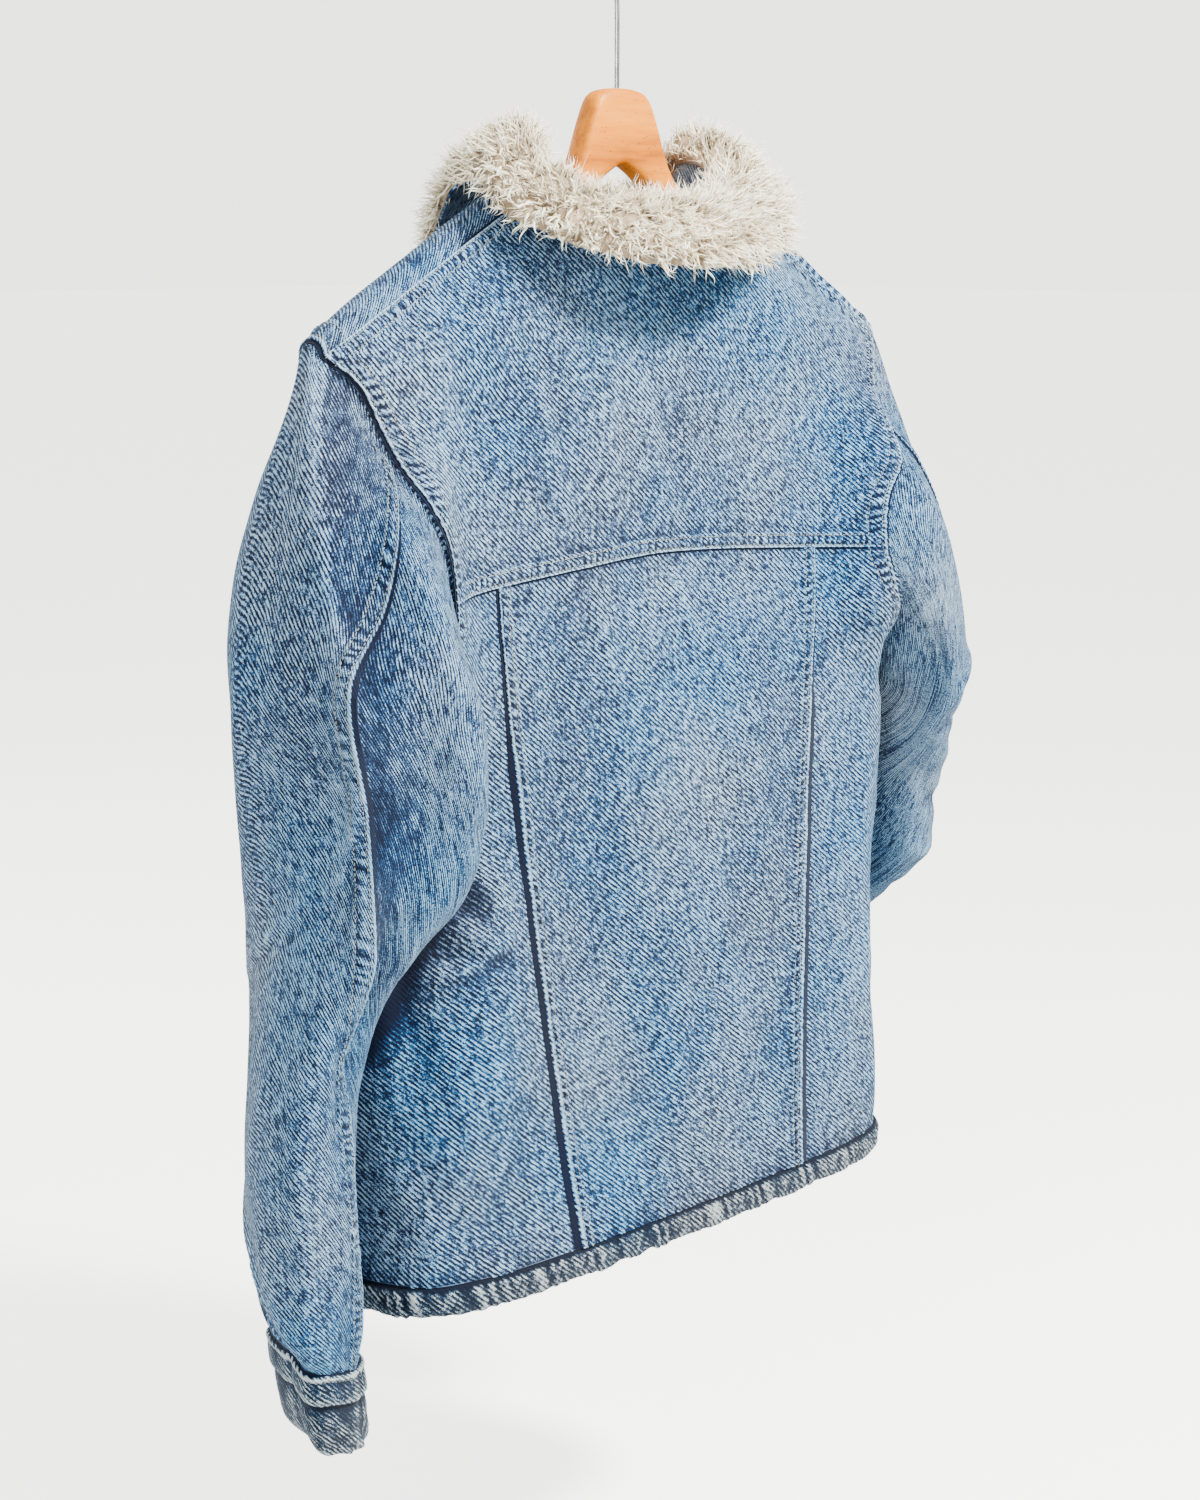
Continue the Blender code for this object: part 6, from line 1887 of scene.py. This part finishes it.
def beech_finish():
    """Varnished beech: long grain, broad rings and short dark flecks."""
    finish, tree, shader = new_finish("varnished_beech")
    place = object_place(tree)
    long_grain = node(tree, "Mapping", {"Vector": place, "Scale": (0.08, 1.0, 1.0)}).outputs[0]
    short_grain = node(tree, "Mapping", {"Vector": place, "Scale": (0.30, 1.0, 1.0)}).outputs[0]
    grain = noise(tree, long_grain, 240.0, 4.0, Roughness=0.6)
    rings = noise(tree, long_grain, 45.0, 2.0, Distortion=0.6)
    flecks = node(tree, "TexVoronoi", {"Vector": short_grain, "Scale": 420.0}).outputs["Distance"]
    dark = calc(tree, "LESS_THAN", flecks, 0.16)
    total = calc(tree, "MULTIPLY_ADD", rings, 0.6, calc(tree, "MULTIPLY", grain, 0.45))
    colours = (
        (0.28, (0.27, 0.065, 0.002)),
        (0.45, (0.50, 0.140, 0.002)),
        (0.58, (0.62, 0.190, 0.003)),
        (0.75, (0.72, 0.250, 0.008)),
    )
    fill(tree, shader, {
        "Base Color": ramp(tree, calc(tree, "MULTIPLY_ADD", dark, -0.20, total), colours),
        "Roughness": calc(tree, "MULTIPLY_ADD", grain, 0.2, 0.32),
        "Normal": bumped(tree, grain, 0.2, 0.0004),
        "Specular IOR Level": 0.12,
        "Coat Weight": 0.03,
        "Coat Roughness": 0.22,
    })
    return finish


def add_tube(name, rings, finish, smooth_to):
    """A closed solid through rings of points, capped at both ends."""
    numbers = np.arange(rings[..., 0].size).reshape(rings.shape[:2])
    faces = grid_faces(numbers, closed=True).tolist() + [numbers[0, ::-1].tolist(), numbers[-1].tolist()]
    made = add_mesh(name, rings.reshape(-1, 3), faces, (finish,), smooth_to)
    shape = bmesh.new()
    shape.from_mesh(made.data)
    bmesh.ops.recalc_face_normals(shape, faces=shape.faces)
    shape.to_mesh(made.data)
    shape.free()
    return made


half_stations = [row.place for row in HANGER_MIDDLE] + list(ARM_STATIONS)
stations = [-x for x in half_stations[:0:-1]] + half_stations
hanger_rings = np.array([hanger_section(x) for x in stations])
station_places = even_places(hanger_rings, 0, 0, len(stations) - 1, HANGER_STEP)
side_places = np.arange(HANGER_SIDES, dtype=float)
finer = smooth_at(hanger_rings, station_places[:, None], side_places[None, :], closed=True)
dress(add_tube("beech_hanger", finer, beech_finish(), 50), ("hanger_body",))

hook_middle = WIRE_RADIUS - HOOK_RADIUS
path = [(0, WOOD_TOP + WIRE_CLEAR), (0, HOOK_BEND), (HOOK_EASE_OUT, HOOK_BEND + HOOK_EASE_UP)]
for turn in np.linspace(math.radians(HOOK_START), math.radians(HOOK_END), HOOK_STEPS):
    path.append((HOOK_RADIUS * math.cos(turn), hook_middle + HOOK_RADIUS * math.sin(turn)))
knots = np.array([(x, 0, z) for x, z in path])[:, None]
wire_places = np.linspace(0, len(knots) - 1, WIRE_STEPS)
fine_path = smooth_at(np.concatenate((knots, knots), axis=1), wire_places, 0.0)
ways = unit(np.gradient(fine_path, axis=0))
ways[0] = (0, 0, 1)
turns = np.linspace(0, 2 * math.pi, WIRE_SIDES, endpoint=False)[None, :, None]
ring_size = np.full(len(fine_path), WIRE_RADIUS)
ring_size[-3:] *= WIRE_TIP
sideways = np.stack((ways[:, 2], 0 * ways[:, 0], -ways[:, 0]), -1)[:, None]
round_wire = np.cos(turns) * sideways + np.sin(turns) * np.array((0, 1, 0))
wire = fine_path[:, None] + ring_size[:, None, None] * round_wire
hook_steel = worn_steel("hook_steel", ((0.3, (0.30, 0.30, 0.30)), (0.7, (0.55, 0.55, 0.54))), 0.22)
dress(add_tube("steel_hook", wire, hook_steel, 60), ("hanger_hook",))

# ----------------------------------------
# Topstitching: waxed cotton thread in grey-green, two rows along every felled band.
# Each stitch is a short rounded piece of thread, bedded in the cloth.
# ----------------------------------------
STITCH_PITCH = 0.0031
STITCH_LENGTH = 0.0025
STITCH_RADIUS = 0.00036


def thread_finish():
    finish, tree, shader = new_finish("grey_green_thread")
    colours = ((0.3, (0.13, 0.14, 0.11)), (0.7, (0.36, 0.37, 0.31)))
    faded = ramp(tree, noise(tree, object_place(tree), 60.0, 2.0), colours)
    fill(tree, shader, {"Base Color": faded, "Roughness": 0.8})
    return finish


def stitch_tree():
    """Stitches set along lines: one rounded piece of thread at each step."""
    inputs = (
        ("Pitch", "Float", 0.003), ("Length", "Float", 0.0025), ("Radius", "Float", 0.0004),
        ("Thread", "Material", None),
    )
    tree, given, out = new_group("topstitching", "Geometry", GEOMETRY + inputs, (("Geometry", "Geometry"),))
    lines = node(tree, "GeometryNodeMeshToCurve", {"Mesh": given["Geometry"]}).outputs[0]
    steps = {"Curve": lines, "Length": given["Pitch"]}
    tangent = node(tree, "GeometryNodeInputTangent").outputs[0]
    width = calc(tree, "MULTIPLY", given["Radius"], 2.0)
    ball = {"Radius": 0.5, "Subdivisions": 1}
    stitches = {
        "Points": node(tree, "GeometryNodeResampleCurve", steps, mode="LENGTH").outputs[0],
        "Instance": node(tree, "GeometryNodeMeshIcoSphere", ball).outputs["Mesh"],
        "Rotation": node(tree, "FunctionNodeAlignRotationToVector", {"Vector": tangent}, axis="Z").outputs[0],
        "Scale": node(tree, "CombineXYZ", {0: width, 1: width, 2: given["Length"]}).outputs[0],
    }
    finish_growth(tree, stitches, given["Thread"], out)
    return tree


thread_points = np.concatenate(stitch_lines)
thread_ends = np.cumsum([len(line) for line in stitch_lines])
thread_edges = [(i, i + 1) for i in range(len(thread_points) - 1) if i + 1 not in thread_ends]
thread_mesh = bpy.data.meshes.new("stitching")
thread_mesh.from_pydata(thread_points.tolist(), thread_edges, [])
stitching = add_object("stitching", thread_mesh)
grown(stitching, stitch_tree(), {
    "Pitch": STITCH_PITCH, "Length": STITCH_LENGTH, "Radius": STITCH_RADIUS, "Thread": thread_finish(),
})
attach(stitching, "root")

# ----------------------------------------
# Studio: a pale floor below the hanging jacket, a pale surround and soft lights. The camera sees the
# floor and the surround brighter than they light the jacket.
# ----------------------------------------
FLOOR_HEIGHT = -1.25
ROOM_LIGHT = 0.62
ROOM_SEEN = 3.2
FLOOR_SEEN = 2.9
FLOOR_HALF = 45.0

pale_floor, floor_tree, shader = new_finish("pale_floor")
seen = node(floor_tree, "LightPath").outputs["Is Camera Ray"]
fill(floor_tree, shader, {
    "Base Color": (0.90, 0.89, 0.87, 1), "Roughness": 0.9, "Emission Color": (0.98, 0.97, 0.94, 1),
    "Emission Strength": calc(floor_tree, "MULTIPLY", seen, FLOOR_SEEN),
})
corners = np.array(((-1, -1, 0), (1, -1, 0), (1, 1, 0), (-1, 1, 0))) * FLOOR_HALF + (0, 0, FLOOR_HEIGHT)
floor = add_mesh("floor", corners, [(0, 1, 2, 3)], (pale_floor,))

# Lights: where each stands, the size of its face, its power and colour. All face the jacket's middle.
SoftLight = namedtuple("SoftLight", "name place size power colour")
SOFT_LIGHTS = table(SoftLight, (
    ("window", (-0.65, 1.75, 1.45), 0.42, 350, (1.0, 0.985, 0.96)),
    ("fill", (2.6, 1.2, 0.6), 1.6, 105, (0.96, 0.98, 1.0)),
    ("front_fill", (0.6, -3.0, 0.6), 2.4, 85, (1.0, 0.98, 0.95)),
))
JACKET_MIDDLE = Vector((0.0, 0.0, -0.55))
for light in SOFT_LIGHTS:
    data = bpy.data.lights.new(light.name, "AREA")
    data.shape, data.size, data.energy, data.color = "DISK", light.size, light.power, light.colour
    lamp = add_object(light.name, data)
    lamp.location = light.place
    lamp.rotation_euler = (JACKET_MIDDLE - Vector(light.place)).to_track_quat("-Z", "Y").to_euler()

world = bpy.data.worlds.new("pale_room")
world.use_nodes = True
room = world.node_tree
seen = node(room, "LightPath").outputs["Is Camera Ray"]
brightness = calc(room, "MULTIPLY_ADD", seen, ROOM_SEEN - ROOM_LIGHT, ROOM_LIGHT)
fill(room, room.nodes["Background"], {"Color": (0.98, 0.975, 0.95, 1), "Strength": brightness})
bpy.context.scene.world = world

lens = bpy.data.cameras.new("camera")
lens.sensor_width = 36
lens.lens = 62.4
camera = add_object("camera", lens)
camera.location = (1.317, 1.256, -0.216)
camera.rotation_euler = (math.radians(78.9), 0, math.radians(134))
bpy.context.scene.camera = camera
